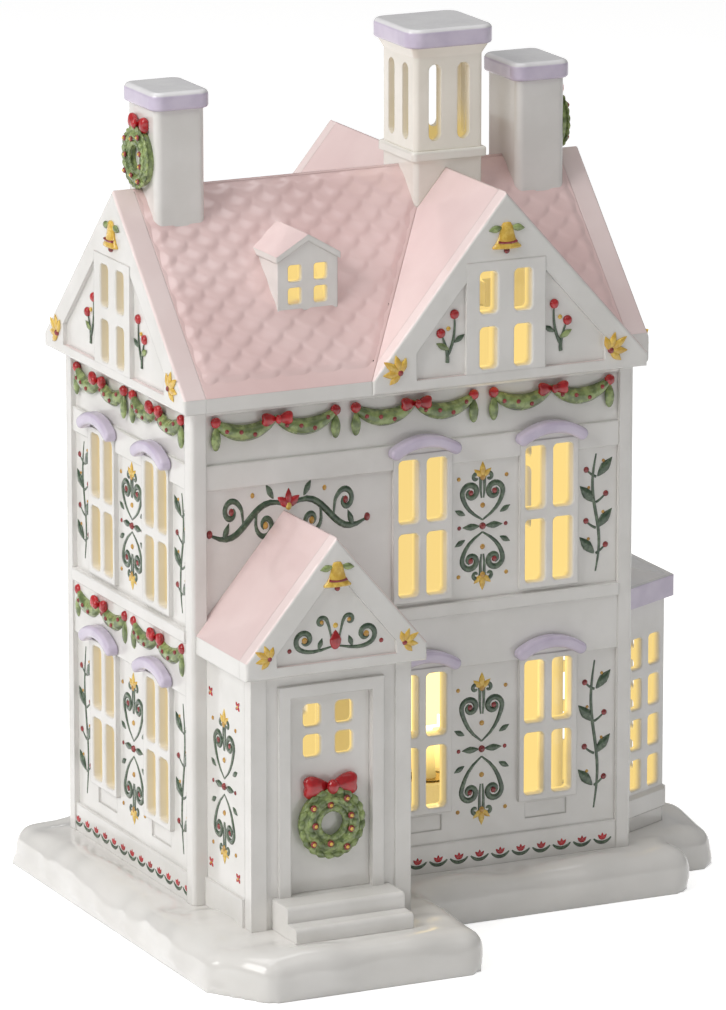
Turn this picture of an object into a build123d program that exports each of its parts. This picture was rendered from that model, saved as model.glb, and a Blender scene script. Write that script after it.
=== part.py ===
# Lit porcelain village house: cast shell pieces, trim and the clip-in lamp, in millimetres.
# x runs along the front, y towards the back and z up. The origin lies on the table, under the
# middle of the base's outline. Storey heights are measured from the top of the base, and places
# in plan from the middle of the main block.

import os
from math import hypot, sqrt

from build123d import *

os.makedirs("parts", exist_ok=True)

# Base
BASE_HEIGHT = 12.0
BASE_MARGIN = 11.5
BASE_LEFT_MARGIN = 13.2
BASE_RIGHT_MARGIN = 14.5
BASE_BACK_MARGIN = 15.0
BASE_BAY_MARGIN = 12.2
BASE_CORNER = 7.0
BASE_SIDE_FLAT = 0.05
BASE_SNOW_ROUND = 6.0
BASE_SKIRT = 6.0
BASE_FLOOR = 4.0
PORCH_APRON = 10.2
APRON_CHAMFER = 17.0
APRON_CHAMFER_WIDTH = 11.5
CORD_NOTCH_WIDTH = 7.0
CORD_NOTCH_HEIGHT = 5.0

# Main block
HOUSE_WIDTH = 132.0
HOUSE_DEPTH = 84.2
PANEL_WALL = 3.0
PANEL_DEPTH = 1.0
POST_PROUD = 0.4
POST_ROUND = 1.2
SKIRTING_TOP = 8.0
LOWER_PANEL_HEAD = 0.6
MID_BAND_HEIGHT = 15.0
SILL_HEIGHT = 3.5
SILL_PROUD = 0.8
BELT_LAP = 2.4
BELT_HEIGHT = 7.0
FRIEZE_HEIGHT = 15.5
EAVES_BAND = 2.0
BAND_ROUND = 0.35

# Windows and their hoods
PANE_WIDTH = 6.0
PANE_HEIGHT = 17.6
PANE_ROUND = 1.3
MUNTIN_WIDTH = 2.4
MUNTIN_HEIGHT = 2.8
RIM_ROUND = 0.5
PAD_BORDER = 1.6
PAD_PROUD = 0.3
LOWER_WINDOW_RISE = 10.4
UPPER_WINDOW_RISE = 2.9
APRON_PANEL_WIDTH = 12.6
APRON_PANEL_HEIGHT = 4.4
APRON_PANEL_RISE = 3.6
APRON_PANEL_DEPTH = 0.5
HOOD_SPAN = 17.6
HOOD_RISE = 2.7
HOOD_THICKNESS = 3.4
HOOD_PROUD = 3.0
HOOD_ROUND = 1.1
HOOD_GAP = 2.6
PORCH_WINDOW_GAP = 17.25
CORNER_WINDOW_GAP = 25.55
FRONT_WINDOW_LEAST = 24.0
SIDE_WINDOW_SPACING = 36.0
BACK_WINDOW_X = -38.0
HALL_OPENING_WIDTH = 21.0
HALL_OPENING_HEIGHT = 60.0
BAY_OPENING_X = -14.0
WING_OPENING_OFFSET = 18.0

# Roofs and gable ends
ROOF_RISE = 52.0
FASCIA = 4.0
EAVES_OVERHANG = 4.4
GABLE_OVERHANG = 4.0
GABLE_SLAB = 4.5
SIDE_GABLE_SLAB = 6.5
ROOF_DROP = 5.0
CROSS_SHARE = 0.371212
CROSS_OVERHANG = 3.0
CROSS_PROUD = 0.5
GABLE_BORDER = 6.0
GABLE_FOOT = 3.0
GABLE_CORNER = 13.0
GABLE_RECESS = 1.2
GABLE_HEAD = 2.7
GABLE_EDGE_ROUND = 0.9
GABLE_SILL_RISE = 4.1
GABLE_PANE_WIDTH = 5.3
GABLE_PANE_HEIGHT = 11.5
GABLE_MUNTIN_WIDTH = 5.0
GABLE_MUNTIN_HEIGHT = 3.7
GABLE_PAD_WIDTH = 23.6
GABLE_PAD_PROUD = 0.2

# Rear wing
WING_LEFT = -12.0
WING_SET_BACK = 1.5
WING_DEPTH = 19.0
WING_GABLE_OVERHANG = 2.4
WING_WINDOW_SPACING = 38.0

# Dormer
DORMER_X = -26.2
DORMER_SET_BACK = 16.5
DORMER_WIDTH = 17.6
DORMER_WALL = 2.6
DORMER_EAVES_DROP = 17.0
DORMER_RISE = 5.2
DORMER_ROOF_DROP = 1.8
DORMER_SIDE_OVERHANG = 0.6
DORMER_FRONT_OVERHANG = 0.6
DORMER_PANE_WIDTH = 4.1
DORMER_PANE_HEIGHT = 4.6
DORMER_PANE_PITCH_X = 7.6
DORMER_PANE_PITCH_Z = 6.2
DORMER_PANE_DROP = 6.5
DORMER_PANE_ROUND = 0.9
DORMER_WELL = 11.0

# Chimneys
CHIMNEY_INSET = 4.9
CHIMNEY_WIDTH = 14.6
CHIMNEY_DEPTH = 19.0
CHIMNEY_WALL = 3.0
CHIMNEY_ROUND = 2.0
LEFT_CHIMNEY_RISE = 22.4
RIGHT_CHIMNEY_RISE = 21.6
CHIMNEY_CAP_HEIGHT = 5.0
CHIMNEY_CAP_OVERHANG = 1.4
CHIMNEY_CAP_ROUND = 1.6

# Cupola
CUPOLA_OFFSET = 0.9
CUPOLA_WIDTH = 20.6
CUPOLA_WALL = 2.8
CUPOLA_ROUND = 1.5
CUPOLA_WELL = 10.0
PEDESTAL_RISE = 2.3
COURSE_HEIGHT = 2.6
COURSE_PROUD = 1.0
COURSE_ROUND = 0.8
SLOT_WIDTH = 3.7
SLOT_PITCH = 8.6
SLOT_RISE = 2.6
SLOT_HEIGHT = 21.0
SLOT_HEAD = 2.0
COVE_HEIGHT = 3.0
CUPOLA_CAP_HEIGHT = 5.2
CUPOLA_CAP_OVERHANG = 2.8
CUPOLA_CAP_ROUND = 1.4

# Porch
PORCH_INSET = 4.1
PORCH_WIDTH = 47.0
PORCH_DEPTH = 27.5
PORCH_HEAD = 3.6
PORCH_WALL = 3.5
PORCH_OVERHANG = 3.0
PORCH_FASCIA = 5.0
PORCH_ROOF_RISE = 36.5
PORCH_ROOF_DROP = 5.2
PORCH_GABLE_OVERHANG = 4.4
PORCH_GABLE_SLAB = 4.5
PORCH_GABLE_CORNER = 9.0
PORCH_FIELD_RISE = 23.0
PORCH_SKIRTING = 8.0
PORCH_SKIRTING_PROUD = 0.7
PILASTER_WIDTH = 4.6
PILASTER_PROUD = 0.7
ARCHITRAVE = 3.4
ARCHITRAVE_PROUD = 1.1
DOOR_WIDTH = 24.0
DOOR_HEIGHT = 54.5
DOOR_SET_BACK = 1.2
DOOR_PANE_WIDTH = 5.2
DOOR_PANE_HEIGHT = 6.2
DOOR_PANE_PITCH_X = 9.4
DOOR_PANE_PITCH_Z = 8.4
DOOR_PANE_DROP = 10.0
DOOR_PANE_ROUND = 1.4

# Steps
STEP_WIDTH = 34.4
UPPER_STEP_HEIGHT = 8.5
UPPER_STEP_DEPTH = 10.0
LOWER_STEP_HEIGHT = 4.2
LOWER_STEP_DEPTH = 5.5
STEP_ROUND = 1.4

# Bay
BAY_CORNER_GAP = 3.4
BAY_CANT = 10.6
BAY_PROJECTION = 19.5
BAY_HEAD = 10.0
BAY_WALL = 2.6
BAY_PLINTH = 4.0
BAY_SILL_TOP = 10.5
BAY_SILL_PROUD = 1.4
BAY_SILL_TAPER = 30.0
BAY_PANE_RISE = 1.0
BAY_PANE_HEIGHT = 8.6
BAY_PANE_PITCH_Z = 11.6
BAY_PANE_ROWS = 4
BAY_PANE_ROUND = 1.0
BAY_SIDE_PANE_EDGE = 2.0
BAY_SIDE_PANE_WIDTH = 5.0
BAY_SIDE_PANE_PITCH = 8.2
BAY_SIDE_COLUMNS = 2
BAY_FACE_PANE_EDGE = 3.0
BAY_FACE_PANE_WIDTH = 5.0
BAY_FACE_PANE_PITCH = 8.4
BAY_CORNICE = 6.0
BAY_OVERHANG = 2.2
BAY_ROOF_TUCK = 0.4
BAY_ROOF_BACK = 4.0
BAY_ROOF_INSET = 11.0
BAY_ROOF_ROUND = 1.4

# Wreaths, garlands and bows
DOOR_WREATH_RING = 6.2
DOOR_WREATH_TUBE = 3.2
DOOR_WREATH_RISE = 19.0
DOOR_BOW_WIDTH = 17.0
DOOR_BOW_HEIGHT = 7.2
DOOR_BOW_RISE = 11.6
DOOR_BOW_PROUD = 3.4
DOOR_BOW_KNOT = 2.4
CHIMNEY_WREATH_RING = 5.6
CHIMNEY_WREATH_TUBE = 2.5
CHIMNEY_WREATH_RISE = 8.5
CHIMNEY_BOW_WIDTH = 14.0
CHIMNEY_BOW_HEIGHT = 5.6
CHIMNEY_BOW_RISE = 9.2
CHIMNEY_BOW_PROUD = 2.8
CHIMNEY_BOW_KNOT = 1.9
GARLAND_THICKNESS = 3.4
GARLAND_PROUD = 1.5
GARLAND_DROOP = 4.6
GARLAND_TAIL = 5.0
GARLAND_TAIL_WIDTH = 2.6
GARLAND_GAP = 6.0
FRIEZE_GARLAND_DROP = 4.1
MID_GARLAND_DROP = 2.4
GARLAND_BOW_WIDTH = 8.6
GARLAND_BOW_HEIGHT = 4.6
GARLAND_BOW_DROP = 1.4
GARLAND_BOW_PROUD = 2.4
GARLAND_BOW_KNOT = 1.3

# Lamp in the floor of the base
LAMP_X = 24.5
LAMP_Y = 0.0
LAMP_HOLE = 31.8
FLANGE_LAP = 3.0
HOLDER_FLANGE_THICKNESS = 1.8
BARREL_GAP = 2.5
BARREL_RISE = 3.0
SOCKET_WALL = 2.4
SOCKET_RISE = 3.0
SOCKET_DEPTH = 15.0
CLIP_CLEARANCE = 0.2
CLIP_THICKNESS = 0.5
CLIP_WIDTH = 7.0
CLIP_RISE = 0.4
SHELL_THICKNESS = 0.5
CAP_CLEARANCE = 0.3
CAP_RADIUS = 5.8
CAP_THREAD_DEPTH = 0.5
CAP_THREAD_PITCH = 2.5
CAP_THREADS = 4
CAP_HEIGHT = 13.5
CONTACT_RADIUS = 2.4
CONTACT_HEIGHT = 1.6
BULB_SHOULDER = 14.0
BULB_SHOULDER_RISE = 12.0
BULB_CROWN = 12.0
BULB_LENGTH = 38.0
BULB_NECK = 5.4
BULB_GLASS = 0.8
STEM_RADIUS = 2.2
STEM_HEIGHT = 14.0
STEM_TAPER = 4.0
FILAMENT_SPAN = 7.0
FILAMENT_WIRE = 0.6

LOW = (Align.CENTER, Align.MIN)

# Values that follow from the driving dimensions
wall = PANEL_WALL + PANEL_DEPTH
post = wall + POST_PROUD
half_width = HOUSE_WIDTH / 2
half_depth = HOUSE_DEPTH / 2
field_x = half_width - POST_PROUD - PANEL_DEPTH
field_y = half_depth - POST_PROUD - PANEL_DEPTH
window_width = 2 * PANE_WIDTH + MUNTIN_WIDTH
window_height = 2 * PANE_HEIGHT + MUNTIN_HEIGHT
pad_level = PANEL_DEPTH + PAD_PROUD
lower_sill = SKIRTING_TOP + LOWER_WINDOW_RISE
apron_panel_low = SKIRTING_TOP + APRON_PANEL_RISE
lower_panel_top = lower_sill + window_height + LOWER_PANEL_HEAD
mid_band_top = lower_panel_top + MID_BAND_HEIGHT
sill_top = mid_band_top + SILL_HEIGHT
upper_sill = sill_top + UPPER_WINDOW_RISE
belt_low = upper_sill + window_height - BELT_LAP
belt_top = belt_low + BELT_HEIGHT
wall_height = belt_top + FRIEZE_HEIGHT
main_run = half_depth + EAVES_OVERHANG
eaves_top = wall_height + FASCIA
ridge = wall_height + ROOF_RISE
gable_sill = wall_height + GABLE_SILL_RISE
gable_field_top = gable_sill + 2 * GABLE_PANE_HEIGHT + GABLE_MUNTIN_HEIGHT + GABLE_HEAD
wing_right = half_width - WING_SET_BACK
cross_x = CROSS_SHARE * half_width
cross_left_run = cross_x - WING_LEFT + CROSS_OVERHANG
cross_right_run = wing_right - cross_x + CROSS_OVERHANG
dormer_face = main_run - DORMER_SET_BACK
dormer_eaves = ridge - DORMER_EAVES_DROP
dormer_peak = dormer_eaves + DORMER_RISE
dormer_pane_middle = dormer_eaves - DORMER_PANE_DROP
chimney_x = half_width - CHIMNEY_INSET - CHIMNEY_WIDTH / 2
left_chimney_top = ridge + LEFT_CHIMNEY_RISE
right_chimney_top = ridge + RIGHT_CHIMNEY_RISE
cupola_x = cross_x + CUPOLA_OFFSET
course_low = ridge + PEDESTAL_RISE
course_top = course_low + COURSE_HEIGHT
slot_low = course_top + SLOT_RISE
slot_top = slot_low + SLOT_HEIGHT
cove_low = slot_top + SLOT_HEAD
cove_top = cove_low + COVE_HEIGHT
cupola_cap_top = cove_top + CUPOLA_CAP_HEIGHT
porch_x = PORCH_INSET + PORCH_WIDTH / 2 - half_width
porch_height = UPPER_STEP_HEIGHT + DOOR_HEIGHT + ARCHITRAVE + PORCH_HEAD
porch_ridge = porch_height + PORCH_ROOF_RISE
porch_field_top = porch_height + PORCH_FIELD_RISE
door_pane_middle = UPPER_STEP_HEIGHT + DOOR_HEIGHT - DOOR_PANE_DROP
door_wreath_height = UPPER_STEP_HEIGHT + DOOR_WREATH_RISE
bay_grid_height = (BAY_PANE_ROWS - 1) * BAY_PANE_PITCH_Z + BAY_PANE_HEIGHT
bay_pane_middle = BAY_SILL_TOP + BAY_PANE_RISE + bay_grid_height / 2
bay_height = BAY_SILL_TOP + BAY_PANE_RISE + bay_grid_height + BAY_HEAD
chimney_wreath_height = ridge + CHIMNEY_WREATH_RISE
frieze_garland_height = wall_height - FRIEZE_GARLAND_DROP
mid_garland_height = mid_band_top - MID_GARLAND_DROP
front_garland_pitch = (HOUSE_WIDTH - 2 * post) / 3
front_garland_span = front_garland_pitch - GARLAND_GAP
side_garland_pitch = (HOUSE_DEPTH - 2 * post) / 2
side_garland_span = side_garland_pitch - GARLAND_GAP
main_slope = (ridge - eaves_top) / main_run
gable_x = half_width + GABLE_OVERHANG
front_gable_y = main_run + CROSS_PROUD
wing_face = half_depth + WING_DEPTH
rear_gable_y = wing_face + WING_GABLE_OVERHANG
porch_face = half_depth + PORCH_DEPTH
porch_gable_y = porch_face + PORCH_GABLE_OVERHANG
porch_run = PORCH_WIDTH / 2 + PORCH_OVERHANG
steps_front = porch_face + UPPER_STEP_DEPTH + LOWER_STEP_DEPTH
bay_face = half_width + BAY_PROJECTION
bay_run = bay_face - field_x
bay_root = half_depth - post - BAY_CORNER_GAP
bay_half = bay_root - BAY_CANT
bay_side_length = hypot(bay_run, BAY_CANT)
bay_face_spare = 2 * (bay_half - BAY_FACE_PANE_EDGE) - BAY_FACE_PANE_WIDTH
bay_face_columns = 1 + int(bay_face_spare / BAY_FACE_PANE_PITCH)
cord_notch_y = wing_face + BASE_MARGIN
house_x = (BASE_LEFT_MARGIN - BAY_PROJECTION - BASE_BAY_MARGIN) / 2
house_y = (steps_front + PORCH_APRON - wing_face - BASE_MARGIN) / 2


def upright(x, y, right, outward):
    """Vertical plane at the top of the base: its x runs to the right as seen from outside."""
    return Plane(origin=(house_x + x, house_y + y, BASE_HEIGHT), x_dir=right, z_dir=outward)


FRONTWARD = (0, -1, 0)
BACKWARD = (0, 1, 0)
LEFTWARD = (-1, 0, 0)
RIGHTWARD = (1, 0, 0)
front_field = upright(0, -field_y, RIGHTWARD, FRONTWARD)
back_field = upright(0, field_y, LEFTWARD, BACKWARD)
left_field = upright(-field_x, 0, FRONTWARD, LEFTWARD)
right_field = upright(field_x, 0, BACKWARD, RIGHTWARD)
porch_front_plane = upright(porch_x, -porch_face, RIGHTWARD, FRONTWARD)
door_plane = porch_front_plane.offset(-DOOR_SET_BACK)
along_x = upright(0, 0, BACKWARD, RIGHTWARD)
along_y = upright(cross_x, 0, RIGHTWARD, FRONTWARD)


def level(height):
    """Horizontal plane at a height above the top of the base."""
    return Plane(origin=(house_x, house_y, BASE_HEIGHT + height))


def keep(piece, name):
    """Label a finished piece and write it under its node's name."""
    piece.part.label = name
    export_step(piece.part, f"parts/{name}.step")


def depth_on(plane, shape):
    """How far a face or an edge lies in front of a plane."""
    return plane.to_local_coords(shape.center()).Z


# Base, cast hollow from below, with the lamp hole in its floor

ground = level(-BASE_HEIGHT)
with BuildPart() as snow_base:
    with BuildSketch(ground) as plan:
        left = -half_width - BASE_LEFT_MARGIN
        right = half_width + BASE_RIGHT_MARGIN
        back = half_depth + BASE_BACK_MARGIN
        front = -steps_front - PORCH_APRON
        apron_right = porch_x + PORCH_WIDTH / 2 + BASE_MARGIN
        lobe = bay_half + BASE_BAY_MARGIN
        Polygon(
            (left, -half_depth - BASE_MARGIN),
            (right, -half_depth - BASE_MARGIN),
            (right, back),
            (left, back),
            align=None,
        )
        Polygon(
            (left, 0),
            (left, front + APRON_CHAMFER),
            (left + APRON_CHAMFER_WIDTH, front),
            (apron_right, front),
            (apron_right, 0),
            align=None,
        )
        Polygon(
            (0, -lobe),
            (bay_face + BASE_BAY_MARGIN, -lobe),
            (bay_face + BASE_BAY_MARGIN, lobe),
            (0, lobe),
            align=None,
        )
        Polygon(
            (WING_LEFT - BASE_MARGIN, 0),
            (right, 0),
            (right, wing_face + BASE_MARGIN),
            (WING_LEFT - BASE_MARGIN, wing_face + BASE_MARGIN),
            align=None,
        )
        shortest_side = min(edge.length for edge in plan.edges())
        base_corner = min(BASE_CORNER, (shortest_side - BASE_SIDE_FLAT) / 2)
        fillet(plan.vertices(), base_corner)
    extrude(amount=BASE_HEIGHT)
    snow_round = min(BASE_SNOW_ROUND, base_corner - BASE_SIDE_FLAT)
    fillet(snow_base.faces().sort_by(Axis.Z)[-1].outer_wire().edges(), snow_round)
    with BuildSketch(ground):
        add(plan.sketch_local)
        offset(amount=-BASE_SKIRT, mode=Mode.REPLACE)
    extrude(amount=BASE_HEIGHT - BASE_FLOOR, mode=Mode.SUBTRACT)
    with BuildSketch(ground):
        with Locations((LAMP_X, LAMP_Y)):
            Circle(LAMP_HOLE / 2)
    extrude(amount=BASE_HEIGHT, mode=Mode.SUBTRACT)
    with BuildSketch(upright(cross_x, cord_notch_y, LEFTWARD, BACKWARD)):
        with Locations((0, -BASE_HEIGHT)):
            Rectangle(CORD_NOTCH_WIDTH, CORD_NOTCH_HEIGHT, align=LOW)
    extrude(amount=-2 * BASE_SKIRT, mode=Mode.SUBTRACT)
keep(snow_base, "snow_base")


# Main block: four walls between corner posts, with raised bands and recessed panels

BANDS = (
    (0, SKIRTING_TOP, PANEL_DEPTH),
    (lower_panel_top, mid_band_top, PANEL_DEPTH),
    (mid_band_top, sill_top, PANEL_DEPTH + SILL_PROUD),
    (belt_low, belt_top, PANEL_DEPTH),
    (wall_height - EAVES_BAND, wall_height, PANEL_DEPTH),
)


def storey_wall(field, length, windows=(), doorways=()):
    """Wall two storeys high. windows are (x, sill); doorways are (x, foot)."""
    end = Plane(origin=field.origin + field.x_dir * (length / 2), x_dir=field.z_dir, z_dir=-field.x_dir)
    with BuildPart() as panel:
        with BuildSketch(end) as section:
            Rectangle(PANEL_WALL, wall_height, align=(Align.MAX, Align.MIN))
            for low, high, proud in BANDS:
                with Locations((-PANEL_WALL, low)):
                    Rectangle(PANEL_WALL + proud, high - low, align=(Align.MIN, Align.MIN))
            corners = section.vertices().filter_by(lambda v: v.X > 0 and 0 < v.Y < wall_height)
            fillet(corners, BAND_ROUND)
        extrude(amount=length)
        if windows:
            with BuildSketch(field):
                for x, sill in windows:
                    with Locations((x, sill - PAD_BORDER)):
                        Rectangle(window_width + 2 * PAD_BORDER, window_height + 2 * PAD_BORDER, align=LOW)
            extrude(amount=pad_level)
            with BuildSketch(field.offset(pad_level)):
                for x, sill in windows:
                    with Locations((x, sill + window_height / 2)):
                        with GridLocations(PANE_WIDTH + MUNTIN_WIDTH, PANE_HEIGHT + MUNTIN_HEIGHT, 2, 2):
                            RectangleRounded(PANE_WIDTH, PANE_HEIGHT, PANE_ROUND)
            extrude(amount=-2 * wall, mode=Mode.SUBTRACT)
            pads = panel.faces().filter_by(lambda f: abs(depth_on(field, f) - pad_level) < PAD_PROUD / 2)
            fillet([e for f in pads for w in f.inner_wires() for e in w.edges()], RIM_ROUND)
        low_windows = [x for x, sill in windows if sill == lower_sill]
        if low_windows:
            with BuildSketch(field):
                for x in low_windows:
                    with Locations((x, apron_panel_low)):
                        Rectangle(APRON_PANEL_WIDTH, APRON_PANEL_HEIGHT, align=LOW)
            extrude(amount=-APRON_PANEL_DEPTH, mode=Mode.SUBTRACT)
        if doorways:
            with BuildSketch(field.offset(2 * wall)):
                for x, foot in doorways:
                    with Locations((x, foot)):
                        Rectangle(HALL_OPENING_WIDTH, HALL_OPENING_HEIGHT, align=LOW)
            extrude(amount=-4 * wall, mode=Mode.SUBTRACT)
    return panel


def pair(middle, spacing):
    """Two places, half the spacing to each side of the middle."""
    return [middle - spacing / 2, middle + spacing / 2]


def spread(first, last, least):
    """Places spaced evenly from first to last, as many as the least spacing allows, or one between them."""
    gaps = int((last - first) / least)
    if gaps < 1:
        return [(first + last) / 2]
    return [first + (last - first) * i / gaps for i in range(gaps + 1)]


def two_storeys(places):
    """A window above and a window below at each place."""
    return [(x, sill) for x in places for sill in (lower_sill, upper_sill)]


front_first = porch_x + PORCH_WIDTH / 2 + PORCH_WINDOW_GAP
front_last = half_width - CORNER_WINDOW_GAP
front_windows = two_storeys(spread(front_first, front_last, FRONT_WINDOW_LEAST))
side_windows = two_storeys(pair(0, SIDE_WINDOW_SPACING))
right_windows = [(x, upper_sill) for x in pair(0, SIDE_WINDOW_SPACING)]
back_windows = two_storeys([-BACK_WINDOW_X])
wing_windows = two_storeys(pair(0, WING_WINDOW_SPACING))
wing_middle = (WING_LEFT + wing_right) / 2
hall_feet = (0, upper_sill - PAD_BORDER)
wing_ways = [(WING_OPENING_OFFSET - wing_middle, foot) for foot in hall_feet]

front_wall = storey_wall(front_field, HOUSE_WIDTH - 2 * post, front_windows, [(porch_x, 0)])
back_wall = storey_wall(back_field, HOUSE_WIDTH - 2 * post, back_windows, wing_ways)
left_wall = storey_wall(left_field, HOUSE_DEPTH - 2 * post, side_windows)
right_wall = storey_wall(right_field, HOUSE_DEPTH - 2 * post, right_windows, [(BAY_OPENING_X, 0)])
keep(front_wall, "front_wall")
keep(back_wall, "back_wall")
keep(left_wall, "left_wall")
keep(right_wall, "right_wall")

with BuildPart() as corner_posts:
    with BuildSketch(level(0)) as post_plan:
        with GridLocations(HOUSE_WIDTH - post, HOUSE_DEPTH - post, 2, 2):
            Rectangle(post, post)
        outer = post_plan.vertices().filter_by(
            lambda v: abs(v.X) > half_width - post / 2 and abs(v.Y) > half_depth - post / 2
        )
        fillet(outer, POST_ROUND)
    extrude(amount=wall_height)
keep(corner_posts, "corner_posts")


# Rear wing: two side walls and a back wall behind the cross roof

wing_back_field = upright(wing_middle, wing_face - PANEL_DEPTH, LEFTWARD, BACKWARD)
wing_side_end = wing_face - wall
wing_side_length = wing_side_end - field_y
wing_side_middle = (wing_side_end + field_y) / 2
wing_back_wall = storey_wall(wing_back_field, wing_right - WING_LEFT, wing_windows)
wing_left_wall = storey_wall(
    upright(WING_LEFT + PANEL_DEPTH, wing_side_middle, FRONTWARD, LEFTWARD), wing_side_length
)
wing_right_wall = storey_wall(
    upright(wing_right - PANEL_DEPTH, wing_side_middle, BACKWARD, RIGHTWARD), wing_side_length
)
with wing_left_wall:
    add(back_wall.part, mode=Mode.SUBTRACT)
with wing_right_wall:
    add(back_wall.part, mode=Mode.SUBTRACT)
    add(corner_posts.part, mode=Mode.SUBTRACT)
keep(wing_back_wall, "wing_back_wall")
keep(wing_left_wall, "wing_left_wall")
keep(wing_right_wall, "wing_right_wall")


# Gable ends: a slab to the roof's outline, a sunk field and a raised window frame

def rake_height(peak, slope, run):
    """Height of a sloping edge at a distance from its peak."""
    return peak - slope * run


def gable_end(face, left_run, right_run, foot, fascia, peak, slab, corner, field_top, window=True):
    """Gable slab whose face lies on a plane with its x at nought under the peak."""
    left_slope = (peak - foot - fascia) / left_run
    right_slope = (peak - foot - fascia) / right_run
    left_peak = peak - GABLE_BORDER * hypot(1, left_slope)
    right_peak = peak - GABLE_BORDER * hypot(1, right_slope)
    field_foot = foot + GABLE_FOOT
    with BuildPart() as slab_part:
        with BuildSketch(face):
            Polygon(
                (-left_run, foot),
                (right_run, foot),
                (right_run, foot + fascia),
                (0, peak),
                (-left_run, foot + fascia),
                align=None,
            )
        extrude(amount=-slab)
        rim = slab_part.faces().filter_by(lambda f: abs(depth_on(face, f)) < slab / 10)
        fillet(rim[0].outer_wire().edges(), GABLE_EDGE_ROUND)
        with BuildSketch(face):
            Polygon(
                (corner - left_run, field_foot),
                (right_run - corner, field_foot),
                (right_run - corner, rake_height(right_peak, right_slope, right_run - corner)),
                ((right_peak - field_top) / right_slope, field_top),
                ((field_top - left_peak) / left_slope, field_top),
                (corner - left_run, rake_height(left_peak, left_slope, left_run - corner)),
                align=None,
            )
        extrude(amount=-GABLE_RECESS, mode=Mode.SUBTRACT)
        if window:
            with BuildSketch(face.offset(-GABLE_RECESS)):
                with Locations((0, field_foot)):
                    Rectangle(GABLE_PAD_WIDTH, field_top - field_foot, align=LOW)
            extrude(amount=GABLE_RECESS + GABLE_PAD_PROUD)
            with BuildSketch(face.offset(GABLE_PAD_PROUD)):
                with Locations((0, gable_sill + GABLE_PANE_HEIGHT + GABLE_MUNTIN_HEIGHT / 2)):
                    with GridLocations(
                        GABLE_PANE_WIDTH + GABLE_MUNTIN_WIDTH, GABLE_PANE_HEIGHT + GABLE_MUNTIN_HEIGHT, 2, 2
                    ):
                        RectangleRounded(GABLE_PANE_WIDTH, GABLE_PANE_HEIGHT, PANE_ROUND)
            extrude(amount=-2 * slab, mode=Mode.SUBTRACT)
            frame = slab_part.faces().filter_by(
                lambda f: abs(depth_on(face, f) - GABLE_PAD_PROUD) < GABLE_PAD_PROUD / 2
            )
            fillet([e for f in frame for w in f.inner_wires() for e in w.edges()], RIM_ROUND)
    return slab_part


side_gable = (wall_height, FASCIA, ridge, SIDE_GABLE_SLAB, GABLE_CORNER, gable_field_top)
cross_gable = (wall_height, FASCIA, ridge, GABLE_SLAB, GABLE_CORNER, gable_field_top)
left_gable_face = upright(-gable_x, 0, FRONTWARD, LEFTWARD)
right_gable_face = upright(gable_x, 0, BACKWARD, RIGHTWARD)
front_gable_face = upright(cross_x, -front_gable_y, RIGHTWARD, FRONTWARD)
rear_gable_face = upright(cross_x, rear_gable_y, LEFTWARD, BACKWARD)
left_gable = gable_end(left_gable_face, main_run, main_run, *side_gable)
right_gable = gable_end(right_gable_face, main_run, main_run, *side_gable)
front_gable = gable_end(front_gable_face, cross_left_run, cross_right_run, *cross_gable)
rear_gable = gable_end(rear_gable_face, cross_right_run, cross_left_run, *cross_gable)
front_end = front_gable_y - GABLE_SLAB
with right_gable:
    split(bisect_by=upright(0, -front_end, RIGHTWARD, FRONTWARD), keep=Keep.BOTTOM)
keep(left_gable, "left_gable")
keep(right_gable, "right_gable")
keep(front_gable, "front_gable")
keep(rear_gable, "rear_gable")


# Roofs: slabs with a heel over the walls. Each roof is cut where the other one passes through it

def outer_roof(plane, left_run, right_run, foot, fascia, peak, length):
    """Whole volume under a roof's outer skin, both ways from a plane across its ridge."""
    with BuildPart() as volume:
        with BuildSketch(plane):
            Polygon(
                (-left_run, foot),
                (right_run, foot),
                (right_run, foot + fascia),
                (0, peak),
                (-left_run, foot + fascia),
                align=None,
            )
        extrude(amount=length, both=True)
    return volume


def inner_roof(plane, left_run, right_run, foot, peak, left_slope, right_slope, length):
    """Space under a roof between its heels."""
    with BuildPart() as volume:
        with BuildSketch(plane):
            Polygon(
                (-left_run, foot),
                (right_run, foot),
                (right_run, rake_height(peak, right_slope, right_run)),
                (0, peak),
                (-left_run, rake_height(peak, left_slope, left_run)),
                align=None,
            )
        extrude(amount=length, both=True)
    return volume


def roof_slope(plane, run, heel, foot, fascia, peak, drop, side, start, stop):
    """One slope of a roof. side is -1 left or 1 right of the ridge, seen along the plane's normal."""
    slope = (peak - foot - fascia) / run
    with BuildPart() as slope_part:
        with BuildSketch(plane.offset(start)):
            Polygon(
                (side * run, foot),
                (side * (run - heel), foot),
                (side * (run - heel), rake_height(peak - drop, slope, run - heel)),
                (0, peak - drop),
                (0, peak),
                (side * run, foot + fascia),
                align=None,
            )
        extrude(amount=stop - start)
    return slope_part


main_heel = main_run - half_depth + post
cross_left_heel = WING_LEFT + wall - cross_x + cross_left_run
cross_right_heel = cross_x + cross_right_run - wing_right + wall
reach = HOUSE_WIDTH + HOUSE_DEPTH
main_volume = outer_roof(along_x, main_run, main_run, wall_height, FASCIA, ridge, gable_x - SIDE_GABLE_SLAB)
cross_volume = outer_roof(along_y, cross_left_run, cross_right_run, wall_height, FASCIA, ridge, reach)
attic = inner_roof(
    along_x,
    main_run - main_heel,
    main_run - main_heel,
    wall_height,
    ridge - ROOF_DROP,
    main_slope,
    main_slope,
    reach,
)
roof_end = gable_x - SIDE_GABLE_SLAB

with BuildPart() as dormer_well:
    with BuildSketch(level(0)):
        with Locations((DORMER_X, -dormer_face + DORMER_WALL + DORMER_WELL / 2)):
            Rectangle(DORMER_WELL, DORMER_WELL)
    extrude(amount=ridge)

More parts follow.
